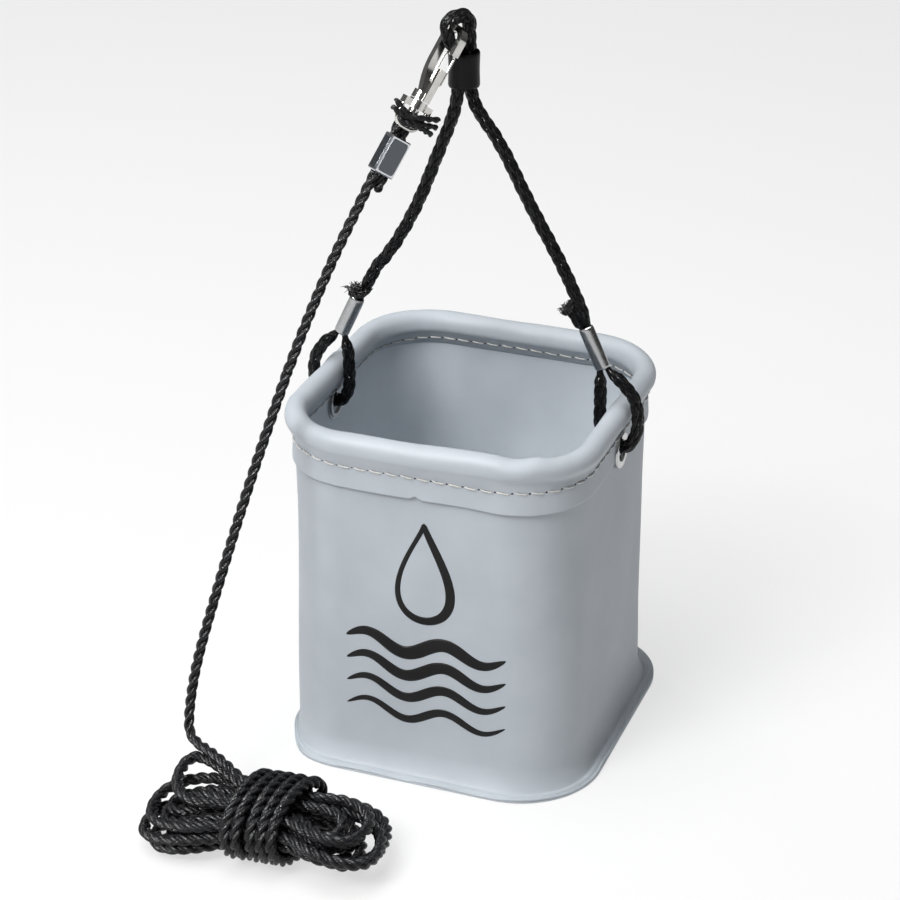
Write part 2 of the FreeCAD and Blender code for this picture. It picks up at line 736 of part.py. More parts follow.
def hank_stop(turn, kind, along, across):
    # A place on the loops and the level heading there, clockwise seen from above
    nest = nest_at(turn)
    layer = layer_at(turn)
    reach = bulb_inner_radius + nest_step * nest
    if kind == "waist":
        spot = Vector(along * waist_half_length, across * (waist_inner_half + nest_step * nest), 0)
    elif kind == "shoulder":
        spot = Vector(along * bulb_centre, across * reach, 0)
    else:
        spot = Vector(along * (bulb_centre + reach), 0, 0)
    beyond = max(abs(spot.x) - waist_half_length, 0) / (hank_reach - waist_half_length)
    spot.z = wrap_middle + (middle_layer - layer) * layer_step - end_droop * beyond ** 1.5
    heading = Vector(0, -along, 0) if kind == "tip" else Vector(across, 0, 0)
    # The left end of the first loop stands off, loose
    looseness = math.exp(-((turn - 0.8) * 11) ** 2)
    spot += Vector(-loose_reach, loose_side, loose_lift) * looseness
    fan = FreeCAD.Rotation(up, layer_fan * (layer - middle_layer))
    return fan.multVec(spot), fan.multVec(heading)


round_trip = (
    (-0.04, "waist", -1, 1), (0.04, "waist", 1, 1), (0.14, "shoulder", 1, 1), (0.25, "tip", 1, 0),
    (0.36, "shoulder", 1, -1), (0.46, "waist", 1, -1), (0.54, "waist", -1, -1),
    (0.64, "shoulder", -1, -1), (0.75, "tip", -1, 0), (0.86, "shoulder", -1, 1),
)
stops = [hank_stop(0, "waist", -hank_start_share, 1)]
for turn in range(hank_turns):
    for part_turn, kind, along, across in round_trip:
        if turn + part_turn > 0:
            stops.append(hank_stop(turn + part_turn, kind, along, across))
stops.append(hank_stop(hank_turns, "waist", -1, 1))
stops.append(hank_stop(hank_turns, "waist", hank_end_share, 1))
hank_keys = []
for index, (spot, heading) in enumerate(stops):
    before = stops[max(index - 1, 0)][0]
    after = stops[min(index + 1, len(stops) - 1)][0]
    level = Vector(after.x - before.x, after.y - before.y, 0).Length
    climb = 0 if index in (0, len(stops) - 1) else (after.z - before.z) / level
    heading = heading + up * climb
    heading.normalize()
    hank_keys.append((spot, heading))
start_spot, start_heading = hank_keys[0]
end_spot, end_heading = hank_keys[-1]
hank_keys.insert(0, (start_spot - start_heading * rope_diameter, start_heading))


def wrap_spot(turn):
    # Starts under the waist and runs up the front, over and down the back
    angle = -math.pi / 2 - turn * 2 * math.pi
    across = wrap_half_width * math.cos(angle)
    along = wrap_start - turn * wrap_pitch + across * wrap_slant_share
    return Vector(along, wrap_across + across, wrap_middle + wrap_half_height * math.sin(angle))


wrap_keys = [(end_spot, end_heading), (end_spot + end_heading * rope_diameter, end_heading)]
for quarter in range(4 * wrap_turns + 1):
    turn = quarter / 4
    nudge = 1 / 4096
    heading = wrap_spot(turn + nudge) - wrap_spot(turn - nudge)
    heading.normalize()
    wrap_keys.append((wrap_spot(turn), heading))
last_spot, last_heading = wrap_keys[-1]
wrap_keys.append((last_spot + last_heading * rope_diameter, last_heading))


def on_floor(spot):
    return hank_centre + hank_bearing.multVec(spot)


def floor_keys(keys):
    return [(on_floor(spot), hank_bearing.multVec(heading)) for spot, heading in keys]


hank_edges = biarc_edges(floor_keys(hank_keys))
wrap_edges = biarc_edges(floor_keys(wrap_keys))
for edges, label in ((hank_edges, "hank"), (wrap_edges, "wrap")):
    tightest = min(edge.Curve.Radius for edge in edges if hasattr(edge.Curve, "Radius"))
    print(label, "tightest radius", round(tightest, 1))
    least_gap(edges, rope_diameter, label)
least_gap(wrap_edges[5:], rope_diameter, "wrap to hank", [hank_edges])
save("rope_hank", tube(hank_edges, rope_diameter, "hank"))
save("rope_wrap", tube(wrap_edges, rope_diameter, "wrap"))

# Hanging rope: from the clamp along the hook's line, out in a slack curve, down onto the hank
rope_start = hook_origin + hook_rotation.multVec(Vector(0, -half_pair, rope_low))
rope_finish = on_floor(hank_keys[0][0])
landing = []
for along, across, rise in landing_shares:
    spot = Vector(along * hank_reach, across * hank_reach, rise * hank_reach)
    landing.append(on_floor(spot + up * start_spot.z))
drop = landing[0] - rope_start
bow_out = Vector(drop.x, drop.y, 0)
bow_out = bow_out - drop * (bow_out.dot(drop) / drop.dot(drop))
bow_out.normalize()
rope_points = [rope_start]
for along, bow in rope_shares:
    rope_points.append(rope_start + drop * along + bow_out * (bow * drop.Length))
first_run = (rope_points[1] - rope_start).Length
rope_points[1] = rope_start - hook_up * first_run
rope_points += landing + [rope_finish]
split = (rope_points[upper_rope_runs] + rope_points[upper_rope_runs + 1]) * 0.5
upper_points = rope_points[:upper_rope_runs + 1] + [split]
lower_points = [split] + rope_points[upper_rope_runs + 1:]
upper_edges = rounded_edges(upper_points, bend_share, "rope upper")
lower_edges = rounded_edges(lower_points, bend_share, "rope lower")
least_gap(lower_edges[:-3], rope_diameter, "rope to hank and wrap", [hank_edges[3:], wrap_edges])
save("rope_upper", tube(upper_edges, rope_diameter, "rope upper"))
save("rope_lower", tube(lower_edges, rope_diameter, "rope lower"))
gate_place = hook_origin + hook_rotation.multVec(Vector(gate_x, 0, gate_z))
gate_axis = hook_rotation.multVec(Vector(0, 1, 0))
places = (
    ("hinge", Vector(0, 0, hinge_z)), ("hook", hook_origin), ("hook axis", loop_through),
    ("spin axis", hook_up), ("gate", gate_place), ("gate axis", gate_axis),
    ("rope start", rope_start), ("split", split),
)
for name, spot in places:
    print(name, [round(value, 5) for value in spot])
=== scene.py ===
import bpy
import math
import numpy as np
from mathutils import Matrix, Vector


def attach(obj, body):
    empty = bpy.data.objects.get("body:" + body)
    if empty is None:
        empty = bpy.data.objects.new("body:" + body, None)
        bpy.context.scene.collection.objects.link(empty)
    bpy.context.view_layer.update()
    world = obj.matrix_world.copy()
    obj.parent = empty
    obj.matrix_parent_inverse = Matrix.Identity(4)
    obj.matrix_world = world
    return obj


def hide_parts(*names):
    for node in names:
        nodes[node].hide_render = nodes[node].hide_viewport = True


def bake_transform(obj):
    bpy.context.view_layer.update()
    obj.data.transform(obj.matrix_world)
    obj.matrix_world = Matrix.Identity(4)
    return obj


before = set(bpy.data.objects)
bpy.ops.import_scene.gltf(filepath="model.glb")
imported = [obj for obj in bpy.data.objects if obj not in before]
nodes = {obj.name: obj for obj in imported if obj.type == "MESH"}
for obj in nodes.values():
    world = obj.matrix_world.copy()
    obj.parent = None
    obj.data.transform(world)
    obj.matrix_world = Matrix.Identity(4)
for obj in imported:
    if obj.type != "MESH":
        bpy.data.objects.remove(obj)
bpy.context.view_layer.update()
mm = 0.001
joined = np.concatenate
print("frame loaded,", len(nodes), "nodes")


def linked(name, data):
    # a new object in the scene
    holder = bpy.data.objects.new(name, data)
    bpy.context.scene.collection.objects.link(holder)
    return holder


def gridMesh(name, points, closeU=False, closeV=True, uv=None, flip=False):
    # one grid, or a stack of equal grids, as quads: rows run along u, columns along v, and faces look
    # towards v crossed with u; a closed way wraps round, and a tube's open ends get one flat face each
    stack = points if points.ndim == 4 else points[None]
    count, rows, cols = stack.shape[:3]
    i, j = np.meshgrid(np.arange(rows - (not closeU)), np.arange(cols - (not closeV)), indexing="ij")
    stepI = np.stack([i, i, i + 1, i + 1], -1).reshape(-1, 4)
    stepJ = np.stack([j, j + 1, j + 1, j], -1).reshape(-1, 4)
    if flip:
        stepI, stepJ = stepI[:, ::-1], stepJ[:, ::-1]
    quads = (stepI % rows) * cols + stepJ % cols
    ringU, ringV = np.arange(cols), np.arange(rows) * cols
    caps = []
    if closeV and not closeU:
        caps += [ringU[::-1], ringU + (rows - 1) * cols]
    if closeU and not closeV:
        caps += [ringV, ringV[::-1] + cols - 1]
    if flip:
        caps = [cap[::-1] for cap in caps]
    flat = joined([quads.ravel()] + caps)
    corners = joined([np.full(len(quads), 4), [len(cap) for cap in caps]])
    sizes = np.tile(corners, count).astype(np.int32)
    loops = (flat + np.arange(count)[:, None] * rows * cols).ravel().astype(np.int32)
    mesh = bpy.data.meshes.new(name)
    mesh.vertices.add(count * rows * cols)
    mesh.vertices.foreach_set("co", stack.reshape(-1).astype(np.float32))
    mesh.loops.add(len(loops))
    mesh.loops.foreach_set("vertex_index", loops)
    mesh.polygons.add(len(sizes))
    mesh.polygons.foreach_set("loop_start", joined([[0], np.cumsum(sizes)[:-1]]).astype(np.int32))
    mesh.polygons.foreach_set("use_smooth", np.ones(len(sizes), dtype=bool))
    if uv is not None:
        values = np.stack([uv[0][stepI], uv[1][stepJ]], -1).reshape(-1, 2)
        values = joined([values, np.zeros((len(flat) - len(values), 2))])
        layer = mesh.uv_layers.new(name="grid")
        layer.data.foreach_set("uv", np.tile(values, (count, 1)).ravel().astype(np.float32))
    mesh.update(calc_edges=True)
    mesh.validate()
    return mesh


def addPiece(mesh, finish, body=None, stands=()):
    # a mesh as a piece: its finish and slot, the body it rides, the CAD nodes it stands for
    piece = linked(mesh.name, mesh)
    mesh.materials.append(finish)
    if stands:
        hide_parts(*stands)
    if body:
        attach(piece, body)
    return piece


def eased(low, high, x):
    # 0 below low, 1 above high, and an even s curve between
    t = np.clip((x - low) / (high - low), 0, 1)
    return t * t * (3 - 2 * t)


def hump(x, middle, half, high=1):
    # a soft bell, as high as given at its middle
    return high * np.exp(-((x - middle) / half) ** 2)


def ripples(turn, table):
    # a sum of sines: the size, count to a turn and phase of each
    return sum(size * np.sin(count * turn + phase) for size, count, phase in table)


def unit(v):
    # each vector over its own length
    return v / np.linalg.norm(v, axis=-1, keepdims=True)


def evenTurn(count):
    # even steps round one full turn
    return np.arange(count) * 2 * np.pi / count


def squaredOff(wave, power):
    # a wave's size raised to a power, its sign kept
    return np.sign(wave) * np.abs(wave) ** power


def turned(x, y, spin):
    # a flat place turned about the origin
    return x * np.cos(spin) - y * np.sin(spin), x * np.sin(spin) + y * np.cos(spin)


def around(angle, first, second):
    # the way at an angle in the plane of two square ways
    return np.cos(angle)[..., None] * first + np.sin(angle)[..., None] * second


def raised(flat, height):
    # flat places with their heights, as points
    return joined([flat, height[..., None]], -1)


def routeLine(points, step=None, count=None):
    # the route's own smooth line, a NURBS spline on its points in millimetres, read back at even steps
    points = np.asarray(points) * mm
    curve = bpy.data.curves.new("route", "CURVE")
    curve.dimensions = "3D"
    spline = curve.splines.new("NURBS")
    spline.points.add(len(points) - 1)
    spline.points.foreach_set("co", np.column_stack([points, np.ones(len(points))]).ravel())
    spline.order_u = 3
    spline.use_endpoint_u = True
    spline.resolution_u = 20
    holder = linked("route", curve)
    bpy.context.view_layer.update()
    line = bpy.data.meshes.new_from_object(holder)
    co = np.empty(len(line.vertices) * 3)
    line.vertices.foreach_get("co", co)
    co = co.reshape(-1, 3)
    bpy.data.curves.remove(curve)
    bpy.data.meshes.remove(line)
    along = lineLength(co)
    even = np.linspace(0, along[-1], count or max(8, round(along[-1] / (step * mm)) + 1))
    return np.column_stack([np.interp(even, along, co[:, k]) for k in range(3)])


def lineLength(line):
    # length so far at each point
    return joined([[0], np.cumsum(np.linalg.norm(np.diff(line, axis=0), axis=1))])


def carriedFrame(line):
    # tangents from central differences; a side vector carried along without twist
    tangent = unit(np.gradient(line, axis=0))
    side = np.zeros_like(line)
    guess = np.array([0, 0, 1]) if abs(tangent[0][2]) < 0.8 else np.array([1, 0, 0])
    for k in range(len(line)):
        guess = guess - tangent[k] * guess.dot(tangent[k])
        guess = guess / np.linalg.norm(guess)
        side[k] = guess
    return side, np.cross(tangent, side)


def ringsAlong(line, radius, angle):
    # a ring about each point of the line: radius and angle, for each row and column
    side, other = carriedFrame(line)
    return line[:, None] + radius[..., None] * around(angle, side[:, None], other[:, None])


def roundedTips(along, radius, start, end):
    # scale of each ring so that a tip closes like a half ball
    fromStart = np.clip(along / radius, 0, 1) if start else np.ones_like(along)
    fromEnd = np.clip((along[-1] - along) / radius, 0, 1) if end else np.ones_like(along)
    t = np.minimum(fromStart, fromEnd)
    return np.sqrt(np.clip(1 - (1 - t) ** 2, 0.01, 1))


def ropePoints(line, diameter, lay, strands, perStrand, groove=0.8, tips=(False, False), swell=1):
    # the section is a ring of touching circles, softened by groove, that turns once for each lay
    along = lineLength(line)
    cols = strands * perStrand
    angle = evenTurn(cols)
    fromRidge = (angle + np.pi / strands) % (2 * np.pi / strands) - np.pi / strands
    small = 1 / (1 + 1 / math.sin(np.pi / strands))
    centre = 1 - small
    cut = np.sqrt(np.clip(small ** 2 - (centre * np.sin(fromRidge)) ** 2, 0, None))
    radius = diameter / 2 * (1 - groove * (1 - centre * np.cos(fromRidge) - cut))
    ring = radius * (swell * roundedTips(along, diameter / 2, *tips))[:, None]
    return ringsAlong(line, ring, angle + 2 * np.pi * along[:, None] / lay)


def ropeMesh(name, line, diameter, lay, tips=(False, False), swell=1, strands=3, perStrand=8):
    # the twisted section, with length over diameter and strand as its grid coordinates
    uv = (lineLength(line) / diameter, np.arange(strands * perStrand + 1) / perStrand)
    points = ropePoints(line, diameter, lay, strands, perStrand, tips=tips, swell=swell)
    return gridMesh(name, points, uv=uv)


def pinched(along, start, end, share=0.47, blend=8 * mm):
    # full size, but squeezed to a share over the start and end lengths, and let out slowly from each
    held = eased(start, start + blend, along) * eased(end, end + blend, along[-1] - along)
    return share + (1 - share) * held


def braidMesh(name, line, diameter, scale, each=5, unitLong=5.6 * mm, cols=70, lift=0.33, low=0.4):
    # two sets of helices cross in a chequer; the strand on top of each square makes its ridge, and the
    # place across it is kept for the yarns of the finish
    along = lineLength(line)
    angle = evenTurn(cols)
    a = each * angle / (2 * np.pi) + along[:, None] / (2 * unitLong)
    b = each * angle / (2 * np.pi) - along[:, None] / (2 * unitLong)
    onTop = (np.floor(a) + np.floor(b)) % 2 < 0.5
    acrossA, acrossB = np.sin(np.pi * (a % 1)), np.sin(np.pi * (b % 1))
    over, under = np.where(onTop, acrossA, acrossB), np.where(onTop, acrossB, acrossA)
    ridge = np.sqrt(over) * (low + (1 - low) * under)
    ring = diameter / 2 * (1 - lift + lift * 1.25 * ridge) * scale[:, None]
    points = ringsAlong(line, ring, angle + 0 * along[:, None])
    uv = (along / diameter, np.arange(cols + 1) / cols * 3)
    mesh = gridMesh(name, points, uv=uv)
    yarn = mesh.attributes.new("yarn", "FLOAT", "POINT")
    yarn.data.foreach_set("value", np.where(onTop, a % 1, b % 1).ravel().astype(np.float32))
    return mesh


def feed(socket, source):
    # a socket set to a constant, or linked to another node's output
    if isinstance(source, bpy.types.NodeSocket):
        socket.id_data.links.new(source, socket)
    else:
        socket.default_value = source


def newFinish(name, **sockets):
    # a shader with its constants set on its own sockets
    finish = bpy.data.materials.new(name)
    finish.use_nodes = True
    shader = finish.node_tree.nodes["Principled BSDF"]
    for key, value in sockets.items():
        feed(shader.inputs[key.replace("_", " ")], value)
    return finish, finish.node_tree, shader


def addNode(tree, kind, **values):
    # a node with its sockets or settings filled in
    node = tree.nodes.new("ShaderNode" + kind)
    for key, value in values.items():
        socket = node.inputs.get(key.replace("_", " "))
        if socket:
            feed(socket, value)
        else:
            setattr(node, key, value)
    return node


def combined(tree, operation, *sources):
    # two numbers or outputs put together by one sum
    node = addNode(tree, "Math", operation=operation)
    for socket, source in zip(node.inputs, sources):
        feed(socket, source)
    return node.outputs[0]


def toneRamp(tree, source, target, low, high, edges):
    # the source as a blend from a low tone to a high one between two edges
    ramp = addNode(tree, "ValToRGB", Fac=source)
    for element, place, tone in zip(ramp.color_ramp.elements, edges, (low, high)):
        element.position = place
        element.color = (*np.broadcast_to(tone, 3), 1)
    feed(target, ramp.outputs["Color"])


def mottle(tree, shader, coords, scale, low, high, detail, edges=(0.3, 0.7)):
    # colour drifts between two tones with a soft noise
    noise = addNode(tree, "TexNoise", Scale=scale, Detail=detail, Vector=coords).outputs["Fac"]
    toneRamp(tree, noise, shader.inputs["Base Color"], low, high, edges)
    return noise


def bumped(tree, shader, height, strength, distance):
    # the height as a slope of the surface
    bump = addNode(tree, "Bump", Strength=strength, Distance=distance, Height=height)
    feed(shader.inputs["Normal"], bump.outputs["Normal"])


def variedGloss(tree, shader, source, low, high):
    # the noise spread over a range of gloss
    spread = addNode(tree, "MapRange", To_Min=low, To_Max=high, Value=source)
    feed(shader.inputs["Roughness"], spread.outputs["Result"])


def softSheet(name, low, high, rough, grain=0.16, shine=0.42):
    # matt plastic sheet: a fine pebble over slow hollows, with a slow drift of tone
    finish, tree, shader = newFinish(name, Specular_IOR_Level=shine)
    coords = addNode(tree, "TexCoord").outputs["Object"]
    drift = mottle(tree, shader, coords, 38, low, high, 5)
    variedGloss(tree, shader, drift, rough - 0.06, rough + 0.06)
    fine = addNode(tree, "TexNoise", Scale=2600, Detail=2, Vector=coords).outputs["Fac"]
    wide = addNode(tree, "TexNoise", Scale=60, Detail=3, Vector=coords).outputs["Fac"]
    height = combined(tree, "ADD", combined(tree, "MULTIPLY", wide, 2.5), fine)
    bumped(tree, shader, height, grain, 0.0004)
    return finish


def fibreFinish(name, low, high, rough, slope, alongScale, acrossScale, strength, shine=0.5):
    # fine yarns: noise drawn out along lines that cross the piece's own grid at the given slope
    finish, tree, shader = newFinish(name, Specular_IOR_Level=shine)
    uv = addNode(tree, "UVMap", uv_map="grid").outputs["UV"]
    parts = addNode(tree, "SeparateXYZ", Vector=uv).outputs
    along = combined(tree, "MULTIPLY", parts["X"], alongScale)
    leaned = combined(tree, "ADD", parts["Y"], combined(tree, "MULTIPLY", parts["X"], slope))
    across = combined(tree, "MULTIPLY", leaned, acrossScale)
    drawn = addNode(tree, "CombineXYZ", X=along, Y=across).outputs["Vector"]
    yarn = mottle(tree, shader, drawn, 1, low, high, 3, (0.35, 0.75))
    variedGloss(tree, shader, yarn, rough - 0.1, rough + 0.12)
    bumped(tree, shader, yarn, strength, 0.0005)
    return finish


def braidedFinish(name, low, high, rough, yarns, strength, shine):
    # rounded yarns side by side across each strand, with a slow drift of tone and gloss
    finish, tree, shader = newFinish(name, Specular_IOR_Level=shine)
    coords = addNode(tree, "TexCoord").outputs["Object"]
    drift = mottle(tree, shader, coords, 700, low, high, 3)
    variedGloss(tree, shader, drift, rough - 0.08, rough + 0.14)
    across = addNode(tree, "Attribute", attribute_name="yarn").outputs["Fac"]
    rounded = combined(tree, "PINGPONG", combined(tree, "MULTIPLY", across, yarns), 0.5)
    height = combined(tree, "ADD", rounded, combined(tree, "MULTIPLY", drift, 0.5))
    bumped(tree, shader, height, strength, 0.0004)
    return finish


def brightMetal(name, colour, rough, drawnOut=(1, 1, 1), strength=0.08):
    # plated metal with faint handling marks, drawn out one way where it is brushed
    finish, tree, shader = newFinish(name, Metallic=1)
    coords = addNode(tree, "TexCoord").outputs["Object"]
    stretched = addNode(tree, "Mapping", Scale=drawnOut, Vector=coords).outputs["Vector"]
    marks = mottle(tree, shader, stretched, 300, np.multiply(colour, 0.84), colour, 3)
    variedGloss(tree, shader, marks, rough * 0.6, rough * 1.5)
    bumped(tree, shader, marks, strength, 0.0001)
    return finish


wallFinish = softSheet("greySheet", (0.40, 0.437, 0.474), (0.44, 0.477, 0.515), 0.55, shine=0.3)
# the inside face is the same grey sheet painted lighter than the outside: painted light for the lit interior
# of the bucket
insidePaintedLightFinish = softSheet("insideSheetPaintedLight", (0.57, 0.615, 0.66), (0.62, 0.665, 0.71), 0.5)
collarFinish = softSheet("collarSheet", (0.41, 0.447, 0.484), (0.45, 0.487, 0.525), 0.54, shine=0.28)
threadFinish = fibreFinish("stitchThread", (0.5, 0.49, 0.47), (0.75, 0.74, 0.71), rough=0.6, slope=0.6,
                           alongScale=0.5, acrossScale=3, strength=0.3)
# near-black finish for the needle holes: painted shade standing in for the shadow inside each hole
holeShadeFinish = softSheet("needleHoleShade", 0.02, 0.05, 0.8, grain=0.1, shine=0.1)
inkFinish = softSheet("blackInk", (0.008, 0.008, 0.009), (0.014, 0.013, 0.013), 0.45, grain=0.12, shine=0.15)
braidFinish = braidedFinish("shinyBraid", 0.002, (0.006, 0.006, 0.007), rough=0.17, yarns=4, strength=0.9,
                            shine=0.22)
ropeFinish = fibreFinish("blackRope", (0.003, 0.003, 0.004), (0.026, 0.026, 0.028), rough=0.28, slope=1.05,
                         alongScale=0.5, acrossScale=5.5, strength=1.3, shine=0.24)
frizzFinish = fibreFinish("frayedYarn", 0.004, 0.014, rough=0.24, slope=0, alongScale=0.5, acrossScale=2,
                          strength=0.1, shine=0.6)
sleeveFinish = softSheet("shrunkSleeve", 0.003, (0.006, 0.006, 0.007), 0.34, grain=0.1, shine=0.14)
nickelFinish = brightMetal("brightNickel", (0.70, 0.685, 0.66), 0.13)
eyeletFinish = brightMetal("eyeletNickel", 0.52, 0.16)
ferruleFinish = brightMetal("crimpedTube", (0.44, 0.445, 0.45), 0.2)
clampFinish = brightMetal("clampSteel", (0.74, 0.76, 0.79), 0.16)
brushedFinish = brightMetal("brushedSteel", (0.13, 0.14, 0.155), 0.34, drawnOut=(6, 6, 0.3), strength=0.3)
coreFinish = softSheet("coreTube", 0.6, 0.7, 0.5)
print("finishes made")

# the view of the photo, fitted to it
camera = {"lens": 105.95, "sensor_width": 36, "clip_start": 0.05, "clip_end": 50}
cameraPlace, cameraLook = Vector((409, -1115.3, 745.2)), Vector((-0.3154, 0.8354, -0.4502))
eye = bpy.data.cameras.new("camera")
for key, value in camera.items():
    setattr(eye, key, value)
eyeHolder = linked("camera", eye)
eyeHolder.location = cameraPlace * mm
eyeHolder.rotation_euler = cameraLook.to_track_quat("-Z", "Y").to_euler()
bpy.context.scene.camera = eyeHolder

# the drop rope, in millimetres: from the clamp to the split, then down onto the hank
dropRope = {
    "diameter": 5, "full": 5.3, "slack": 1.14, "slackRun": (0.18, 0.26), "lay": 18.5, "step": 0.8,
    "upper": [(-34.71, -39.61, 303.66), (-39.9, -47.1, 289.7), (-48.9, -61.2, 264), (-58.4, -75.6, 232.5),
              (-63.1, -82.4, 214.9)],
    "lower": [(-63.1, -82.4, 214.9), (-67.6, -89.2, 197.4), (-78.2, -102.2, 155.5), (-89.4, -115.4, 107.5),
              (-98, -124.4, 69.2), (-101, -129, 41.5), (-97, -134.5, 33.5), (-79, -143.8, 34),
              (-61.05, -152.37, 28.44), (-51.6, -152.57, 28.2)],
}
hank = {
    "centre": (-43.5, -164), "turn": 5, "nestStep": 6.8, "layerStep": 6, "waistHalf": 15, "low": 3.1,
    "bulbCentre": 37, "bulbInner": 7, "waistInner": 1.3, "droop": 9, "reach": 61, "middle": 19.2,
    "bulbLong": 1.02, "bulbWide": 1.06, "tipWide": 0.62, "midLayer": 1.5, "fan": 5.5,
    "loose": (-8, 17, 3), "looseAt": (0.8, 1 / 11),
    "ruffle": (5, 4.5, 3), "stray": ((2.3, 0.5), (3.1, 1.2), (1.9, 0.3)),
    "turns": (0, 1.5, 4, 6.5, 8), "nests": (1.5, 0, 2.5, 0, 1.5),
    "wrapHigh": 16.6, "wrapWide": 24.2, "wrapAcross": 1.7, "wrapStart": 17.2, "wrapPitch": 5.9,
    "wrapTurns": 5, "wrapSlant": 0.225, "wrapSway": 0.04, "wrapSlack": 1.035, "wrapSteps": 12,
    "drawn": 8, "drawnNest": (1.2, 2.2), "plump": 0.16,
}


def hankRoute(h=hank):
    # half a loop: waist, shoulder, two corners of the bulb, shoulder, waist; the other half is turned about;
    # nest spirals in and out between the reversals, the layer sinks by one about each, and the loose ends
    # stray a little from turn to turn
    half = np.array([(0.04, 1, 1, 0), (0.14, 1, 1, 1), (0.22, 1, 1, 2), (0.28, 1, -1, 2), (0.36, 1, -1, 1),
                     (0.46, 1, -1, 0)])
    loop = joined([half, half * (1, -1, -1, 1) + (0.5, 0, 0, 0)])
    last = h["turns"][-1]
    loops = [loop + (turn, 0, 0, 0) for turn in range(last)]
    turn, along, across, kind = joined([[(0, -0.2, 1, 0)], *loops, [(last, 0.5, 1, 0)]]).T
    nest = np.interp(turn, h["turns"], h["nests"])
    share = np.clip((turn[:, None] - np.array(h["turns"][1:-1])) * 2 + 0.5, 0, 1)
    layer = eased(0, 1, share).sum(1)
    reach = h["bulbInner"] + h["nestStep"] * nest
    kind = kind.astype(int)
    tip = h["bulbCentre"] + h["bulbLong"] * reach
    x = along * np.choose(kind, (h["waistHalf"], h["bulbCentre"], tip))
    waist = h["waistInner"] + h["nestStep"] * nest
    y = across * np.choose(kind, (waist, h["bulbWide"] * reach, h["tipWide"] * reach))
    beyond = np.minimum(np.clip(np.abs(x) - h["waistHalf"], 0, None) / (h["reach"] - h["waistHalf"]), 1)
    z = h["middle"] + (h["midLayer"] - layer) * h["layerStep"] - h["droop"] * beyond ** 1.5
    y = y * (1 + h["plump"] * beyond * (x > 0))
    x = x - h["drawn"] * beyond * (x > 0) * (1 - eased(*h["drawnNest"], nest))
    looseness = hump(turn, *h["looseAt"])
    x, y, z = (v + looseness * shift + far * beyond * np.sin(rate * turn + phase)
               for v, shift, far, (rate, phase) in zip((x, y, z), h["loose"], h["ruffle"], h["stray"]))
    return np.column_stack([*turned(x, y, np.radians(h["fan"] * (layer - h["midLayer"]))), z])


def wrapRoute(h=hank):
    # a leaning oval helix round the waist, from under it up the front and over
    turn = np.arange(h["wrapSteps"] * h["wrapTurns"] + 1) / h["wrapSteps"]
    angle = -np.pi / 2 - turn * 2 * np.pi
    across = h["wrapSlack"] * h["wrapWide"] * np.cos(angle)
    lean = h["wrapSlant"] + h["wrapSway"] * np.sin(2.1 * turn + 0.4)
    x = h["wrapStart"] - turn * h["wrapPitch"] + across * lean
    rise = h["wrapSlack"] * h["wrapHigh"] * np.sin(angle)
    return np.column_stack([x, h["wrapAcross"] + across, h["middle"] + rise])


def onFloor(points, h=hank):
    # the hank's own places turned and set down on the floor
    x, y, z = points.T
    x, y = turned(x, y, math.radians(h["turn"]))
    return np.column_stack([x, y, np.maximum(z, h["low"])]) + (*h["centre"], 0)


upperLine = routeLine(dropRope["upper"], dropRope["step"])
lowerRoute = joined([dropRope["lower"], onFloor(hankRoute()), onFloor(wrapRoute())])
lowerLine = routeLine(lowerRoute, dropRope["step"])
ropeFull, ropeLay, ropeSize = dropRope["full"] * mm, dropRope["lay"] * mm, dropRope["diameter"] * mm
upperMesh = ropeMesh("ropeUpperRun", upperLine, ropeFull, ropeLay)
slack = 1 + (dropRope["slack"] - 1) * eased(*dropRope["slackRun"], lineLength(lowerLine))
lowerMesh = ropeMesh("ropeLowerRun", lowerLine, ropeFull, ropeLay, (False, True), slack)
ropeUpper = addPiece(upperMesh, ropeFinish, stands=("rope_upper",))
ropeLower = addPiece(lowerMesh, ropeFinish,
                     stands=("rope_lower", "rope_hank", "rope_wrap"))
lineLength(upperLine)[-1]
lineLength(lowerLine)[-1]
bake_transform(ropeUpper)
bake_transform(ropeLower)
print("rope", round(lineLength(upperLine)[-1] + lineLength(lowerLine)[-1], 3), "m")

# the braided handle: two legs with the loop above the sleeve, and a loop through each eyelet
braid = {
    "diameter": 6.2, "step": 0.42,
    "route": [(-68.99, 0, 199.26), (-56.34, 0, 227.01), (-51.2, 0, 238.29), (-42.02, -0.6, 249.34),
              (-28.23, -1.25, 274.54), (-17.15, -1.96, 303.59), (-6.6, -2.5, 330), (-7.04, -2.72, 355.7),
              (-10.7, -7.6, 361.08), (-10.7, -7.6, 371.8), (-3.26, 2.32, 371.8), (-3.26, 2.32, 361.08),
              (-2.96, 2.72, 355.7), (-3.4, 2.5, 330), (12.44, 2.07, 311.25), (26.92, 1.36, 283.53),
              (43.08, 0.65, 256.76), (50.82, 0, 242.18), (55.96, 0, 230.9), (68.61, 0, 203.14)],
    "loopOut": 84.7, "loopIn": 66.3, "loopLow": 161.3, "lean": 24.5, "offset": 1.55, "ferruleLong": 22.5,
    "low": {-1: (-70.4, 0, 199.9), 1: (67.2, 0, 202.5)}, "shoulder": {-1: 189.9, 1: 192.5},
    "shoulderOut": 86.6, "shoulderDrop": 3.9, "topSwell": 0.13, "topLong": 12, "tuck": 2,
}


def ferruleFrame(side, b=braid):
    # the ferrule's low end, its way up and its way out
    lean = math.radians(b["lean"])
    axis = np.array([-side * math.sin(lean), 0, math.cos(lean)])
    return np.array(b["low"][side]), axis, np.array([side * math.cos(lean), 0, math.sin(lean)])


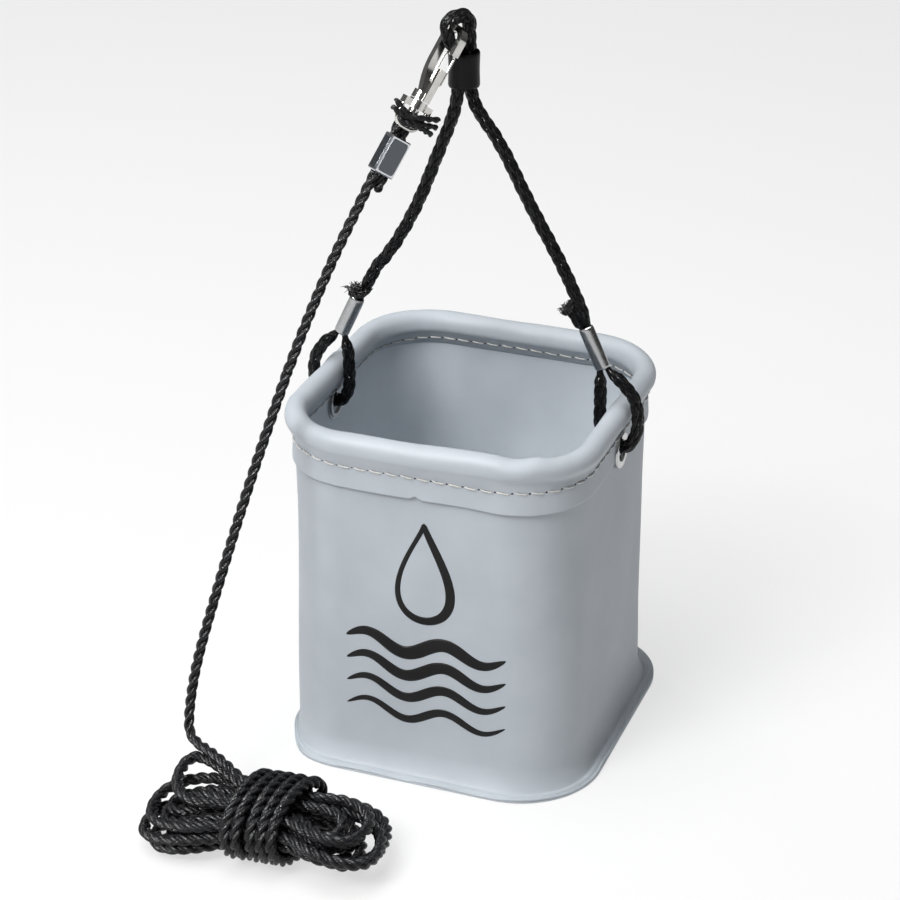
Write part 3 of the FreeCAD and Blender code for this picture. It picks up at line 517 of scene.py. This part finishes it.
def eyeletLoopRoute(side, b=braid):
    # down outside the collar, in through the eyelet and up inside it, back to the ferrule
    low, axis, outward = ferruleFrame(side)
    first, last = low + outward * b["offset"], low - outward * b["offset"]
    high, tuck = b["shoulder"][side], axis * b["tuck"]
    return np.array([first + tuck, first, (side * b["shoulderOut"], 0, high - b["shoulderDrop"]),
                     (side * b["loopOut"], 0, b["loopLow"]), (side * b["loopIn"], 0, b["loopLow"]),
                     (side * b["loopIn"], 0, high), last, last + tuck])


braidSize, braidTuck, ferruleLong = (braid[key] * mm for key in ("diameter", "tuck", "ferruleLong"))
handleLine = routeLine(braid["route"], braid["step"])
handleAlong = lineLength(handleLine)
handleScale = pinched(handleAlong, ferruleLong, ferruleLong)
topAlong = handleAlong[np.argmax(handleLine[:, 2])]
topSwell = hump(handleAlong, topAlong, braid["topLong"] * mm)  # the braid spreads over the hook
handleScale = handleScale * (1 + braid["topSwell"] * topSwell)
handleMesh = braidMesh("handleBraid", handleLine, braidSize, handleScale)
addPiece(handleMesh, braidFinish, "handle", ("handle_cord",))
sides = ((-1, "left"), (1, "right"))
for side, name in sides:
    loopLine = routeLine(eyeletLoopRoute(side), braid["step"])
    loopScale = pinched(lineLength(loopLine), braidTuck, braidTuck)
    loopMesh = braidMesh(name + "EyeletLoop", loopLine, braidSize, loopScale)
    addPiece(loopMesh, braidFinish, "handle", (name + "_cord_loop",))
print("handle braided,", round(lineLength(handleLine)[-1], 3), "m")

# the cut ends of the braid above each ferrule: a short sheath, then loose curled yarns
frayedEnds = {
    "left": {"side": -1, "strand": 1, "shift": (2.2, -2.6, 0.3), "sheath": 2.2, "lean": 0.38, "yarns": 190,
             "long": 6.2, "disc": 3.7, "spread": 0.45, "curl": 2.4, "seed": 4},
    "right": {"side": 1, "strand": -1, "shift": (0, -1.2, 0), "sheath": 10.5, "lean": 0.24, "yarns": 100,
              "long": 6, "disc": 2.7, "spread": 0.45, "curl": 1.2, "seed": 9},
}
cutSheath = {"diameter": 5.5, "rise": 2.5, "step": 0.3, "tuck": 1.5, "share": 0.6, "ease": 3}
yarn = {"steps": 10, "sides": 5, "radius": 0.42, "thinning": 0.45, "stray": 0.2}


def frayPoints(root, way, f):
    # each yarn leaves a disc along a strayed way, winds once about it, and thins to the tip
    rng = np.random.default_rng(f["seed"])
    count = f["yarns"]
    across = unit(np.cross(way, (0, 1, 0)))
    over = np.cross(way, across)
    turn, far = rng.uniform(0, 2 * np.pi, count), np.sqrt(rng.uniform(0, 1, count))
    fan = around(turn, across, over)
    start = root + fan * (far * f["disc"])[:, None]
    head = unit(way + fan * (far * f["spread"])[:, None] + rng.normal(0, yarn["stray"], (count, 3)))
    side = unit(np.cross(head, (0.31, 0.84, 0.44)))
    other = np.cross(head, side)
    t = np.linspace(0, 1, yarn["steps"])
    wind = turn[:, None] + 2 * np.pi * rng.uniform(0.5, 1.1, count)[:, None] * t
    curl = f["curl"] * rng.uniform(0.4, 1, count)[:, None] * t
    size = f["long"] * rng.uniform(0.45, 1, count)
    path = start[:, None] + head[:, None] * (size[:, None] * t)[..., None]
    path = path + curl[..., None] * around(wind, side[:, None], other[:, None])
    ring = around(evenTurn(yarn["sides"]), side[:, None], other[:, None])
    radius = yarn["radius"] * (1 - yarn["thinning"] * t)
    return path[:, :, None] + radius[:, None, None] * ring[:, None]


for name, f in frayedEnds.items():
    low, axis, outward = ferruleFrame(f["side"])
    inside = braid["ferruleLong"] - braid["tuck"]
    root = low + outward * f["strand"] * braid["offset"] + axis * inside
    away = unit(axis * math.cos(f["lean"]) + outward * f["strand"] * math.sin(f["lean"]))
    bend = root + axis * cutSheath["rise"]
    sheathLine = routeLine([root, bend, bend + away * f["sheath"]], cutSheath["step"])
    sheathScale = pinched(lineLength(sheathLine), cutSheath["tuck"] * mm, -1, cutSheath["share"],
                          cutSheath["ease"] * mm)
    sheathMesh = braidMesh(name + "CutSheath", sheathLine, cutSheath["diameter"] * mm, sheathScale)
    addPiece(sheathMesh, braidFinish, "handle", (name + "_cord_tail",))
    yarns = frayPoints(sheathLine[-5] / mm + f["shift"], away, f) * mm
    uv = (np.arange(yarn["steps"] + 1), np.arange(yarn["sides"] + 1) / yarn["sides"])
    yarnMesh = gridMesh(name + "FrayedYarns", yarns, uv=uv)
    addPiece(yarnMesh, frizzFinish, "handle")
print("frayed ends made")

# the crimped tubes that hold the braid's ends
ferrule = {"wide": 3.85, "deep": 2.6, "swell": 0.1, "sheet": 0.7, "square": 2.15, "edge": 0.3}


def ferrulePoints(side, c=ferrule):
    # a squared ring carried up the outside, swelling a little between rounded edges, and down the bore
    low, axis, outward = ferruleFrame(side)
    t = np.linspace(0, 1, 41)
    edges = c["edge"] * (hump(t, 0, 0.025) + hump(t, 1, 0.025))
    grow = joined([c["swell"] * np.sin(np.pi * t) - edges, 0 * t - c["sheet"]])
    level = joined([t, t[::-1]]) * braid["ferruleLong"]
    angle = evenTurn(48)
    across, over = (squaredOff(wave, 2 / c["square"]) for wave in (np.cos(angle), np.sin(angle)))
    wide, deep = c["wide"] + grow, c["deep"] + grow
    ring = (wide[:, None] * across)[..., None] * outward
    ring = ring + (deep[:, None] * over)[..., None] * np.cross(axis, outward)
    return (low + level[:, None, None] * axis + ring) * mm


for side, name in sides:
    tubeMesh = gridMesh(name + "CrimpedFerrule", ferrulePoints(side), closeU=True)
    addPiece(tubeMesh, ferruleFinish, "handle", (name + "_ferrule",))
print("ferrules made")

# the shrunk sleeve: a lathe round the two legs, with soft lips and a slight waist
sleeve = {"x": -5, "low": 337.4, "high": 354.4, "outer": 7.6, "bore": 7, "lip": 0.3, "waist": 0.18}
t = np.linspace(0, 1, 25)
level = sleeve["low"] + (sleeve["high"] - sleeve["low"]) * t
lip = sleeve["lip"] * (hump(t, 0, 0.03) + hump(t, 1, 0.03))
outerFace = sleeve["outer"] - lip - sleeve["waist"] * np.sin(np.pi * t) ** 2
sleeveRadius = joined([outerFace, 0 * t + sleeve["bore"]])
sleeveLevel = joined([level, level[::-1]])
angle = evenTurn(64)
flat = np.stack([np.cos(angle), np.sin(angle)], -1)[:, None] * sleeveRadius[:, None] + (sleeve["x"], 0)
sleevePoints = raised(flat, np.broadcast_to(sleeveLevel, flat.shape[:2])) * mm
sleeveMesh = gridMesh("shrunkSleeve", sleevePoints, closeU=True, flip=True)
addPiece(sleeveMesh, sleeveFinish, "handle", ("handle_sleeve",))

# the rope's end in the swivel's bow, in the hook's own frame: x to the front, y across, z up the hook
knot = {
    "origin": (-6.98, -2.64, 365.679),
    "rows": ((0.8, 0.49269, 0.34243), (-0.6, 0.65692, 0.45657), (0, -0.57071, 0.82115)),
    "bight": [(0.4, 3.1, -85), (0, 2.55, -76), (0, 2.55, -61), (-2.2, 2.4, -54), (-3, 2.2, -46.2),
              (-3, -2.2, -46.2), (-2.2, -2.4, -54), (0, -2.55, -61), (0, -2.55, -77.2)],
    "strands": [
        [(2.6, -14.8, -42.4), (3.8, -7, -45.4), (5, 0, -48.4), (4.8, 6, -46.6), (3.4, 14.6, -44.8)],
        [(2.2, -14.2, -46), (3.6, -7, -48.2), (6, -0.5, -45), (5, 5.5, -43.8), (4.2, 13, -41)],
        [(2.6, -8, -49.4), (4.4, -4, -50.2), (6.2, 1, -48.6), (5, 7, -48.8), (3, 14, -49)],
        [(-2.4, -8, -45), (-3.6, -3, -46.2), (-3.9, 1, -47.6), (-3.4, 5, -46.6), (-2.2, 9, -45.2)]],
    "full": 5.1, "step": 0.6, "strand": 3.1, "lay": 9, "strandSteps": 64,
}


def fromHook(points, k=knot):
    # a place in the hook's own frame turned into the shared one
    return np.array(k["origin"]) + np.asarray(points) @ np.array(k["rows"]).T


bightLine = routeLine(fromHook(knot["bight"]), knot["step"])
bightMesh = ropeMesh("ropeBight", bightLine, knot["full"] * mm, ropeLay, (True, False))
addPiece(bightMesh, ropeFinish, "swivel", ("rope_end",))
strandLines = [routeLine(fromHook(points), count=knot["strandSteps"]) for points in knot["strands"]]
strandPoints = np.stack([
    ropePoints(line, knot["strand"] * mm, knot["lay"] * mm, 2, 7, groove=0.5, tips=(True, True))
    for line in strandLines])
uv = (np.arange(knot["strandSteps"] + 1) / 8, np.arange(15) / 7)
strandMesh = gridMesh("ropeStrands", strandPoints, uv=uv)
addPiece(strandMesh, ropeFinish, "swivel")

# a brushed plate on each face of the clamp, its outline a superellipse
clamp = {"middle": -66.8, "high": 8.3, "thick": 0.14, "power": 0.25,
         "broad": (4.9, 3.4), "narrow": (2.5, 5.95)}


def platePoints(halfWide, proud, quarter, c=clamp):
    # rings of the outline from the face's middle out, over the rim and back; turned about the hook's axis
    angle = evenTurn(72)
    across = squaredOff(np.cos(angle), c["power"]) * halfWide
    rise = squaredOff(np.sin(angle), c["power"]) * c["high"]
    share = np.array([0.02, 0.5, 0.9, 0.97, 1, 1, 0.5, 0.02])
    out = proud + np.array([1, 1, 1, 1, 0.6, -0.6, -0.6, -0.6]) * c["thick"] + 0 * angle[:, None]
    along = across[:, None] * share
    return np.stack([*turned(out, along, quarter), c["middle"] + rise[:, None] * share], -1)


plates = np.stack([platePoints(*clamp[face], k * math.pi / 2)
                   for k, face in enumerate(("broad", "narrow", "broad", "narrow"))])
plateMesh = gridMesh("clampPlates", fromHook(plates) * mm, closeU=True, closeV=False)
addPiece(plateMesh, brushedFinish, "swivel")
print("rope end and clamp made")

wall = {
    "halfWidth": 76, "halfDepth": 77.5, "corner": 34, "sheet": 1, "foot": 1.3, "flareOut": 4,
    "flareHigh": 12, "flange": 9, "wallTop": 169.77, "bulge": 1.2, "lobes": 0.7,
    "seamLift": 0.5, "seamHalf": 7, "seamEdge": 1.2, "seamFrom": (14, 20), "footHigh": 15, "ripple": 0.35,
    "rippleLong": 47, "leftFoot": 0.66, "pull": {(-1, -1): 2.2, (1, -1): 1, (1, 1): 1.2, (-1, 1): 1},
    "pullRun": (60, 168), "waveFrom": (14, 60), "waveTo": (120, 158), "high": 184,
}
rim = {
    "beadOut": -0.5, "beadHigh": 178.5, "bead": 5.5, "filletOut": 7.1, "filletHigh": 169.869, "fillet": 6,
    "sheet": 1, "low": 157, "lowIn": 166, "stitchHigh": 168.5, "stitchPitch": 8, "puff": 0.4,
    "notchHalf": 3.4, "notchHigh": 1.9, "lapBack": 11, "lapStep": 0.6, "core": 4.3, "edgeIn": -1.14,
    "lifts": ((-30, 34, 1.3), (36, 30, 2.6), (60, 5, 0.9), (48, 6, -0.8)),
    "runFrom": (-62, -40), "runTo": (34, 52), "runOut": (172.4, 3.6, 1.7), "tuckAt": 66, "tuckHalf": 20,
    "tuckIn": (172.6, 2.4, 1.3), "innerRun": (172.8, 4, 2.3), "eyeletHalf": 16, "pinchHalf": 1.8,
    "edgeHigh": 2.2, "edgeThin": 0.92, "hemHigh": 9, "swell": ((0.2, 5, 1), (0.15, 13, 0)), "hem": 0.3,
    "hemWaves": ((0.2, 9, 2), (0.15, 17, 0)), "sag": ((0.25, 3, 0.7), (0.15, 8, 0)),
}
mouthLength = 2 * math.pi * wall["corner"]
mouthLength += 4 * (wall["halfWidth"] + wall["halfDepth"] - 2 * wall["corner"])
seams = mouthLength * 0.75, mouthLength * 0.25
leftSeam = seams[0]


def mouthRing(s, z=wall):
    # along the mouth from the front's middle, anticlockwise, as runs and quarter circles about the corners'
    # centres; gives the place and the outward way
    a, b, r = z["halfWidth"] - z["corner"], z["halfDepth"] - z["corner"], z["corner"]
    centres = np.array([(-a, -b), (a, -b), (a, b), (-a, b)])
    starts = joined([[0], np.cumsum([2 * a, math.pi * r / 2, 2 * b, math.pi * r / 2] * 2)])
    s = (s + a) % starts[-1]
    k = np.clip(np.searchsorted(starts, s, side="right") - 1, 0, 7)
    bent = k % 2
    t = s - starts[k]
    angle = (k // 2 - 1) * math.pi / 2 + bent * t / r
    normal = np.stack([np.cos(angle), np.sin(angle)], -1)
    way = np.stack([-np.sin(angle), np.cos(angle)], -1)
    return centres[(k // 2 + bent) % 4] + normal * r + way * ((1 - bent) * t)[..., None], normal


def ringGap(s, place):
    # signed distance along the mouth from a place on it
    return (s - place + mouthLength / 2) % mouthLength - mouthLength / 2


def ringSteps(step, fineAt=(), fineHalf=4, fineStep=0.35):
    # even steps round the mouth, closer beside the named places
    steps = [np.arange(0, mouthLength - step / 2, step)]
    steps += [(place + np.arange(-fineHalf, fineHalf, fineStep)) % mouthLength for place in fineAt]
    s = np.unique(np.round(joined(steps), 3))
    return s[joined([np.diff(s) > 0.15, [mouthLength - s[-1] > 0.15]])]


def mouthPull(s, z):
    # each corner of the mouth drawn in towards the top, most at its middle
    normal = mouthRing(s)[1]
    bend = np.abs(2 * normal[..., 0] * normal[..., 1]) ** 0.7
    share = sum(much * (np.sign(normal[..., 0]) == x) * (np.sign(normal[..., 1]) == y)
                for (x, y), much in wall["pull"].items())
    return -share * bend * eased(*wall["pullRun"], z)


def rimPull(s):
    # the corners' pull at the rim, where it is full
    return mouthPull(s, 0 * s + wall["high"])


def softWall(s, z):
    # a few slow waves, none at the rim or the foot, and the lap of the sheet at the left eyelet
    turn = 2 * np.pi * s / mouthLength
    fade = eased(*wall["waveFrom"], z) * (1 - eased(*wall["waveTo"], z))
    waves = ripples(turn, ((0.5, 4, 0.9), (0.3, 7, z / 31 + 0.4), (0.2, 11, -z / 23)))
    waves = waves + wall["lobes"] * np.cos(4 * turn) * np.sin(z / wall["high"] * np.pi)
    toSeam = np.abs(ringGap(s, leftSeam)) - wall["seamHalf"]
    lap = (1 - eased(0, wall["seamEdge"], toSeam)) * eased(*wall["seamFrom"], z)
    return wall["bulge"] * waves * fade + mouthPull(s, z), wall["seamLift"] * lap


def leftFoot(s):
    # share of the foot's reach that is left on each side: the left edge is cut closer
    return 1 - wall["leftFoot"] * eased(0.35, 0.95, -mouthRing(s)[1][..., 0])


def carriedSection(s, out, z):
    # a section in outward and upward sizes, carried round the mouth
    place, normal = mouthRing(s)
    return raised(place[:, None] + normal[:, None] * out[..., None], np.broadcast_to(z, out.shape)) * mm


def wallSection(z=wall):
    # up the outside from the foot's edge, over the top, down the inside; the flare is an arc that leaves
    # the wall upright, and a weld line is pressed into the foot
    sweep = 2 * math.atan(z["flareOut"] / z["flareHigh"])
    bend = z["flareHigh"] / math.sin(sweep)
    top = z["foot"] + z["sheet"]
    start = top + z["flareHigh"]
    arc = np.linspace(sweep, 0, 10)
    edge = z["flange"]
    footOut = np.array([edge, edge, edge - 0.35, 8, 7.7, 7.35, 7, 6.4, 5.6, 5, 4.6])
    footUp = top + np.array([-z["sheet"], -0.4, 0, 0.05, -0.45, -0.45, 0.05, 0.3, 0.3, -0.1, -0.35])
    up = np.linspace(start, z["wallTop"], 40)[1:]
    outer = np.column_stack([joined([footOut, bend - bend * np.cos(arc), 0 * up]),
                             joined([footUp, start - bend * np.sin(arc), up])])
    r = bend + z["sheet"]
    inner = np.column_stack([joined([bend - r * np.cos(arc), 0 * up - z["sheet"]]),
                             joined([start - r * np.sin(arc), up])])[::-1]
    inner = joined([inner, [(inner[-1][0], z["foot"]), (6, z["foot"])]])
    return joined([outer, inner]).T, joined([np.ones(len(outer)), np.zeros(len(inner))])


seamEnd = wall["seamHalf"] + wall["seamEdge"] / 2
s = ringSteps(2.2, (leftSeam - seamEnd, leftSeam + seamEnd))
(out, up), isOuter = wallSection()
wave, lap = softWall(s[:, None], up)
ripple = wall["ripple"] * np.sin(s[:, None] * 2 * np.pi / wall["rippleLong"])
ripple = ripple * eased(3, 9, out) * isOuter
foot = np.where((out > 0) & (up < wall["footHigh"]), out * leftFoot(s)[:, None], out)
wallPoints = carriedSection(s, foot + wave + lap * isOuter, up + ripple)
wallMesh = gridMesh("bucketWall", wallPoints, closeU=True, flip=True)
addPiece(wallMesh, wallFinish, "bucket", ("side_wall",))
# the inner faces take the lighter copy of the sheet, which is painted light
wallMesh.materials.append(insidePaintedLightFinish)
wallMesh.polygons.foreach_set("material_index", np.tile(1 - isOuter, len(s)).astype(np.int32))

# bottom: a flat sheet with a rounded edge, its upper face a little uneven inside
base = {"thick": 1.2, "edge": 0.4, "uneven": 0.35}
s = ringSteps(3)
share = joined([np.linspace(0.01, 0.97, 22), [1, 1, 1], np.linspace(0.99, 0.01, 12)])
level = np.repeat([base["thick"], base["thick"] - base["edge"], base["edge"], 0], (23, 1, 1, 12))
place, normal = mouthRing(s)
edge = place + normal * (wall["flange"] * leftFoot(s))[:, None]
inset = np.where((share == 1) & (level == base["thick"]), base["edge"], 0)
flat = (edge[:, None] - normal[:, None] * inset[:, None]) * share[:, None]
dents = 0.5 + 0.25 * np.sin(flat[..., 0] / 17 + 1) + 0.25 * np.cos(flat[..., 1] / 13)
uneven = base["uneven"] * dents * ((1 - eased(0.6, 0.85, share)) * (level > 1))
bottomPoints = raised(flat, level + uneven) * mm
bottomMesh = gridMesh("bucketBottom", bottomPoints, closeU=True, closeV=False)
addPiece(bottomMesh, wallFinish, "bucket", ("bottom_panel",))


def collarSection(inset, r=rim):
    # outer leg, fillet, round the bead, fillet, short inner leg, all at one inset from the outer face
    bead, bend = r["bead"] - inset, r["fillet"] + inset
    legOut = r["filletOut"] - bend
    slope = math.atan2(r["beadHigh"] - r["filletHigh"], r["filletOut"] - r["beadOut"])
    rise = joined([[r["low"], r["low"] + 0.5], np.linspace(r["low"] + 2, r["filletHigh"], 16)])
    turnIn = np.linspace(0, slope, 8)[1:]
    over = np.linspace(-slope, math.pi + slope, 36)[1:]
    back = np.linspace(slope, 0, 8)[1:]
    fall = np.linspace(r["filletHigh"], r["lowIn"], 6)[1:]
    middle = r["beadOut"]
    out = joined([0 * rise + legOut, r["filletOut"] - bend * np.cos(turnIn), middle + bead * np.cos(over),
                  2 * middle - r["filletOut"] + bend * np.cos(back), 0 * fall + 2 * middle - legOut])
    z = joined([rise, r["filletHigh"] + bend * np.sin(turnIn), r["beadHigh"] + bead * np.sin(over),
                r["filletHigh"] + bend * np.sin(back), fall])
    return out, z


def rimLift(s):
    # how far the bead stands up: bells along the front, low at the left, high at the right, a lump and a dip
    return sum(hump(ringGap(s, place), 0, half, high) for place, half, high in rim["lifts"])


def underBead(s, z, r=rim):
    # below the bead the sheet runs straight out to it along the front, and is tucked in at the right corner
    along = ringGap(s, 0)
    frontRun = eased(*r["runFrom"], along) * (1 - eased(*r["runTo"], along))
    corner = hump(ringGap(s, r["tuckAt"]), 0, r["tuckHalf"])
    return frontRun * hump(z, *r["runOut"]) - corner * hump(z, *r["tuckIn"])


def insideBead(z):
    # on the inside the sheet falls from the bead to the stitching in one slope
    return -hump(z, *rim["innerRun"])


def collarDrift(s, out, z, r=rim):
    # the bead swells and thins a little; the legs puff beside the stitching, the hem lifts and waves,
    # and the strip's end laps over its start just behind the left eyelet
    turn = 2 * np.pi * s / mouthLength
    byEyelet = np.minimum(1, sum(hump(ringGap(s, seam), 0, r["eyeletHalf"]) for seam in seams))
    swell = ripples(turn, r["swell"])
    onBead = eased(r["filletHigh"] + 1, r["beadHigh"], z)
    outside = out > r["beadOut"]
    beadAngle = np.arctan2(z - r["beadHigh"], out - r["beadOut"])
    ridges = 0.75 + 0.25 * np.cos(2 * np.pi * s / r["stitchPitch"])
    pinch = 1 - hump(z, r["stitchHigh"], r["pinchHalf"]) * ridges
    outerLeg = outside * (1 - onBead)
    hem = (r["hem"] + ripples(turn, r["hemWaves"])) * (1 - eased(r["low"], r["stitchHigh"] - 3, z))
    sag = ripples(turn, r["sag"])
    notch = r["notchHigh"] * np.clip(1 - np.abs(ringGap(s, 0)) / r["notchHalf"], 0, 1) ** 1.3
    byHem = (1 - eased(r["low"], r["low"] + r["hemHigh"], z)) * outside
    toLap = ringGap(s, leftSeam - r["lapBack"])
    lapped = r["lapStep"] * eased(0, 0.7, toLap) * (1 - eased(6, 16, toLap))
    newOut = out + swell * onBead * np.cos(beadAngle) + outerLeg * (r["puff"] * pinch + hem) * (1 - byEyelet)
    thinned = (out < r["beadOut"]) * (1 - eased(r["lowIn"], r["lowIn"] + r["edgeHigh"], z))
    newOut = newOut + r["edgeThin"] * thinned * (r["edgeIn"] - out)
    newOut = newOut + np.where(outside, underBead(s, z), insideBead(z))
    newOut = newOut + lapped * onBead * np.cos(beadAngle) + rimPull(s)
    newZ = z + (0.6 * swell + lapped) * onBead * np.sin(beadAngle) + byHem * (sag + notch)
    return newOut, newZ + rimLift(s) * eased(167, 178, z)


s = ringSteps(2, (0, leftSeam - rim["lapBack"]), 4.5, 0.3)
outerSide, innerSide = collarSection(0), collarSection(rim["sheet"])
out = joined([outerSide[0], innerSide[0][::-1]])
z = joined([outerSide[1], innerSide[1][::-1]])
collarOut, collarUp = collarDrift(s[:, None], out, z)
collarPoints = carriedSection(s, collarOut, collarUp)
collarMesh = gridMesh("rolledCollar", collarPoints, closeU=True, flip=True)
addPiece(collarMesh, collarFinish, "bucket", ("rim_collar",))

# the stiffening tube in the bead, a ring that follows the bead's drift
angle = evenTurn(20)
s = ringSteps(4)
coreOut = rim["beadOut"] + rim["core"] * np.cos(angle) + rimPull(s)[:, None]
coreUp = rim["beadHigh"] + rim["core"] * np.sin(angle) + 0.9 * rimLift(s)[:, None]
coreMesh = gridMesh("beadTube", carriedSection(s, coreOut, coreUp), closeU=True, flip=True)
addPiece(coreMesh, coreFinish, "bucket", ("rim_core",))

stitch = {
    "half": 3.4, "thick": 0.42, "rise": 0.42, "arch": 0.52, "dive": 0.85, "holeLong": 0.6, "holeHigh": 0.5,
    "back": (75, 2.2), "faces": (("outer", 1.22, 1), ("inner", -2.16, -1)),
}
stitchCount = round(mouthLength / rim["stitchPitch"])


def stitchLine(s):
    # height of the seam round the mouth: a little higher at the back
    return rim["stitchHigh"] + hump(ringGap(s, mouthLength / 2), 0, *stitch["back"])


def seamLift(along, rise, face):
    # how far the sheet itself stands out under the seam, on its outer or inner face
    return rimPull(along) + (underBead(along, rise) if face > 0 else insideBead(rise))


def stitchPoints(base, face, w=stitch):
    # each stitch is a short leaning thread, arched off the sheet, that dives into it at both ends
    centre = (np.arange(stitchCount) + 0.5) * mouthLength / stitchCount
    t = np.linspace(-1, 1, 9)
    along = centre[:, None] + t * w["half"]
    rise = stitchLine(along) + face * w["rise"] * -t + 0.15 * np.sin(centre * 1.7)[:, None]
    lift = base + face * (w["arch"] - w["dive"] * t ** 4) + seamLift(along, rise, face)
    thick = w["thick"] * np.sqrt(np.clip(1.05 - t ** 8, 0.05, 1))
    place, normal = mouthRing(along)
    outWay = raised(normal, 0 * lift)
    core = raised(place + normal * lift[..., None], rise)
    ring = around(evenTurn(6), outWay[:, :, None], np.array([0, 0, 1]))
    return core[:, :, None] + thick[:, None, None] * ring, t


def holePoints(base, face, w=stitch):
    # a flat oval button at each needle hole, sunk so that only its dark face shows: painted shade for the
    # shadow inside the hole
    centre = np.arange(stitchCount) * mouthLength / stitchCount
    share, height = np.array([0.15, 0.7, 1, 0.6]), np.array([0.16, 0.12, -0.05, -0.25])
    angle = evenTurn(10)
    along = centre[:, None, None] + w["holeLong"] * share * np.cos(angle)[:, None]
    rise = stitchLine(along) + w["holeHigh"] * share * np.sin(angle)[:, None]
    place, normal = mouthRing(along)
    lift = base + face * height + seamLift(along, rise, face)
    return raised(place + normal * lift[..., None], rise)


for name, level, face in stitch["faces"]:
    threads, t = stitchPoints(level, face)
    uv = (np.append(t, 1), np.arange(7) / 6)
    threadMesh = gridMesh(name + "Stitches", threads * mm, uv=uv, flip=True)
    addPiece(threadMesh, threadFinish, "bucket")
    # the dark buttons at the holes are painted shade
    holes = holePoints(level, face) * mm
    holeMesh = gridMesh(name + "NeedleHoleShade", holes, closeU=True, closeV=False, flip=face < 0)
    addPiece(holeMesh, holeShadeFinish, "bucket")
print("bucket sheets and stitching made")

# a plain mark on the front: a drop over four waves, in ink that stands just off the sheet
mark = {
    "proud": 0.12, "middle": 4, "dropUp": 117, "dropHigh": 26, "dropWide": 19, "dropLine": 3.6,
    "swing": 3.8, "period": 40, "waveHalf": 42,
    "waves": ((75, 3.8), (62, 3.3), (49, 2.8), (36, 2.3)),
}


def inkBand(across, level, half, closed):
    # a strip on the wall about a line given along and up it: a low oval section of the given half width
    angle = evenTurn(8)
    slopes = [np.roll(v, -1) - np.roll(v, 1) if closed else np.gradient(v) for v in (across, level)]
    wayX, wayZ = slopes / np.hypot(*slopes)
    wide = half[:, None] * np.cos(angle)
    s = across[:, None] - wayZ[:, None] * wide
    z = level[:, None] + wayX[:, None] * wide
    proud = mark["proud"] * squaredOff(np.sin(angle), 0.5)
    place, normal = mouthRing(s)
    return raised(place + normal * (softWall(s, z)[0] + proud)[..., None], z) * mm


# the drop is a pinched oval whose line swells on one side; the waves are sines that taper to both ends
t = evenTurn(120)
dropX = mark["middle"] + mark["dropWide"] * np.sin(t) * np.sin(t / 2) ** 1.4
dropZ = mark["dropUp"] + mark["dropHigh"] * np.cos(t)
dropHalf = mark["dropLine"] / 2 * (1 + 0.35 * np.sin(t - 0.6))
dropMesh = gridMesh("dropMark", inkBand(dropX, dropZ, dropHalf, True), closeU=True)
addPiece(dropMesh, inkFinish, "bucket")
t = np.linspace(-1, 1, 90)
along = mark["waveHalf"] * t
swing = mark["swing"] * np.sin(2 * np.pi * along / mark["period"])
taper = np.sqrt(np.clip(1.004 - t ** 2, 0, 1))
bands = np.stack([inkBand(mark["middle"] + along, level + swing, half * taper, False)
                  for level, half in mark["waves"]])
bandMesh = gridMesh("waveMark", bands)
addPiece(bandMesh, inkFinish, "bucket")
print("front mark made")

# a pale floor, wide enough that no low view shows its edge
ground = {"half": 9, "grey": (0.26, 0.26, 0.26, 1), "rough": 0.85, "glow": 0.63}
floorWay = np.linspace(-ground["half"], ground["half"], 3)
floorX, floorY = np.meshgrid(floorWay, floorWay, indexing="ij")
floorMesh = gridMesh("floor", np.stack([floorX, floorY, 0 * floorX], -1), closeV=False, flip=True)
floorFinish = newFinish("paleFloor", Roughness=ground["rough"], Base_Color=ground["grey"],
                        Emission_Color=(1, 1, 1, 1), Emission_Strength=ground["glow"])[0]
floor = linked("floor", floorMesh)
floorMesh.materials.append(floorFinish)

# studio light: a dome that darkens towards the horizon, a broad key at the front left, a small spark for
# glints only, a soft light from above and a faint one at the back left
world = bpy.data.worlds.new("studio")
bpy.context.scene.world = world
world.use_nodes = True
worldTree = world.node_tree
dome = {"low": (0.12, 0.12, 0.125), "high": 1, "edges": (0, 0.6), "strength": 0.2}
sky = worldTree.nodes["Background"].inputs
way = addNode(worldTree, "TexCoord").outputs["Generated"]
height = addNode(worldTree, "SeparateXYZ", Vector=way).outputs["Z"]
toneRamp(worldTree, height, sky["Color"], dome["low"], dome["high"], dome["edges"])
sky["Strength"].default_value = dome["strength"]
aim = Vector((0, 0, 0.15))
lamps = {
    "key": ((-0.7, -1.6, 1.9), 1.1, 46), "spark": ((-0.9, -1.9, 1.9), 0.2, 110),
    "top": ((-0.2, -0.3, 1.8), 1.1, 22), "rim": ((-1.3, 0.9, 1.5), 0.15, 3),
}
for name, (place, size, power) in lamps.items():
    lamp = bpy.data.lights.new(name, "AREA")
    lamp.size = size
    lamp.energy = power
    holder = linked(name, lamp)
    holder.location = place
    holder.visible_diffuse = name != "spark"
    holder.rotation_euler = (aim - Vector(place)).to_track_quat("-Z", "Y").to_euler()
bpy.context.scene.view_settings.view_transform = "Standard"
print("stage lit")

# the CAD nodes that are shown as they are
dressed = {
    "left_eyelet": eyeletFinish, "right_eyelet": eyeletFinish, "left_eyelet_washer": eyeletFinish,
    "right_eyelet_washer": eyeletFinish, "hook_body": nickelFinish, "wire_gate": nickelFinish,
    "swivel_eye": nickelFinish, "rope_clamp": clampFinish, "rim_core_joiner": coreFinish,
}
for name, finish in dressed.items():
    nodes[name].data.materials.clear()
    nodes[name].data.materials.append(finish)
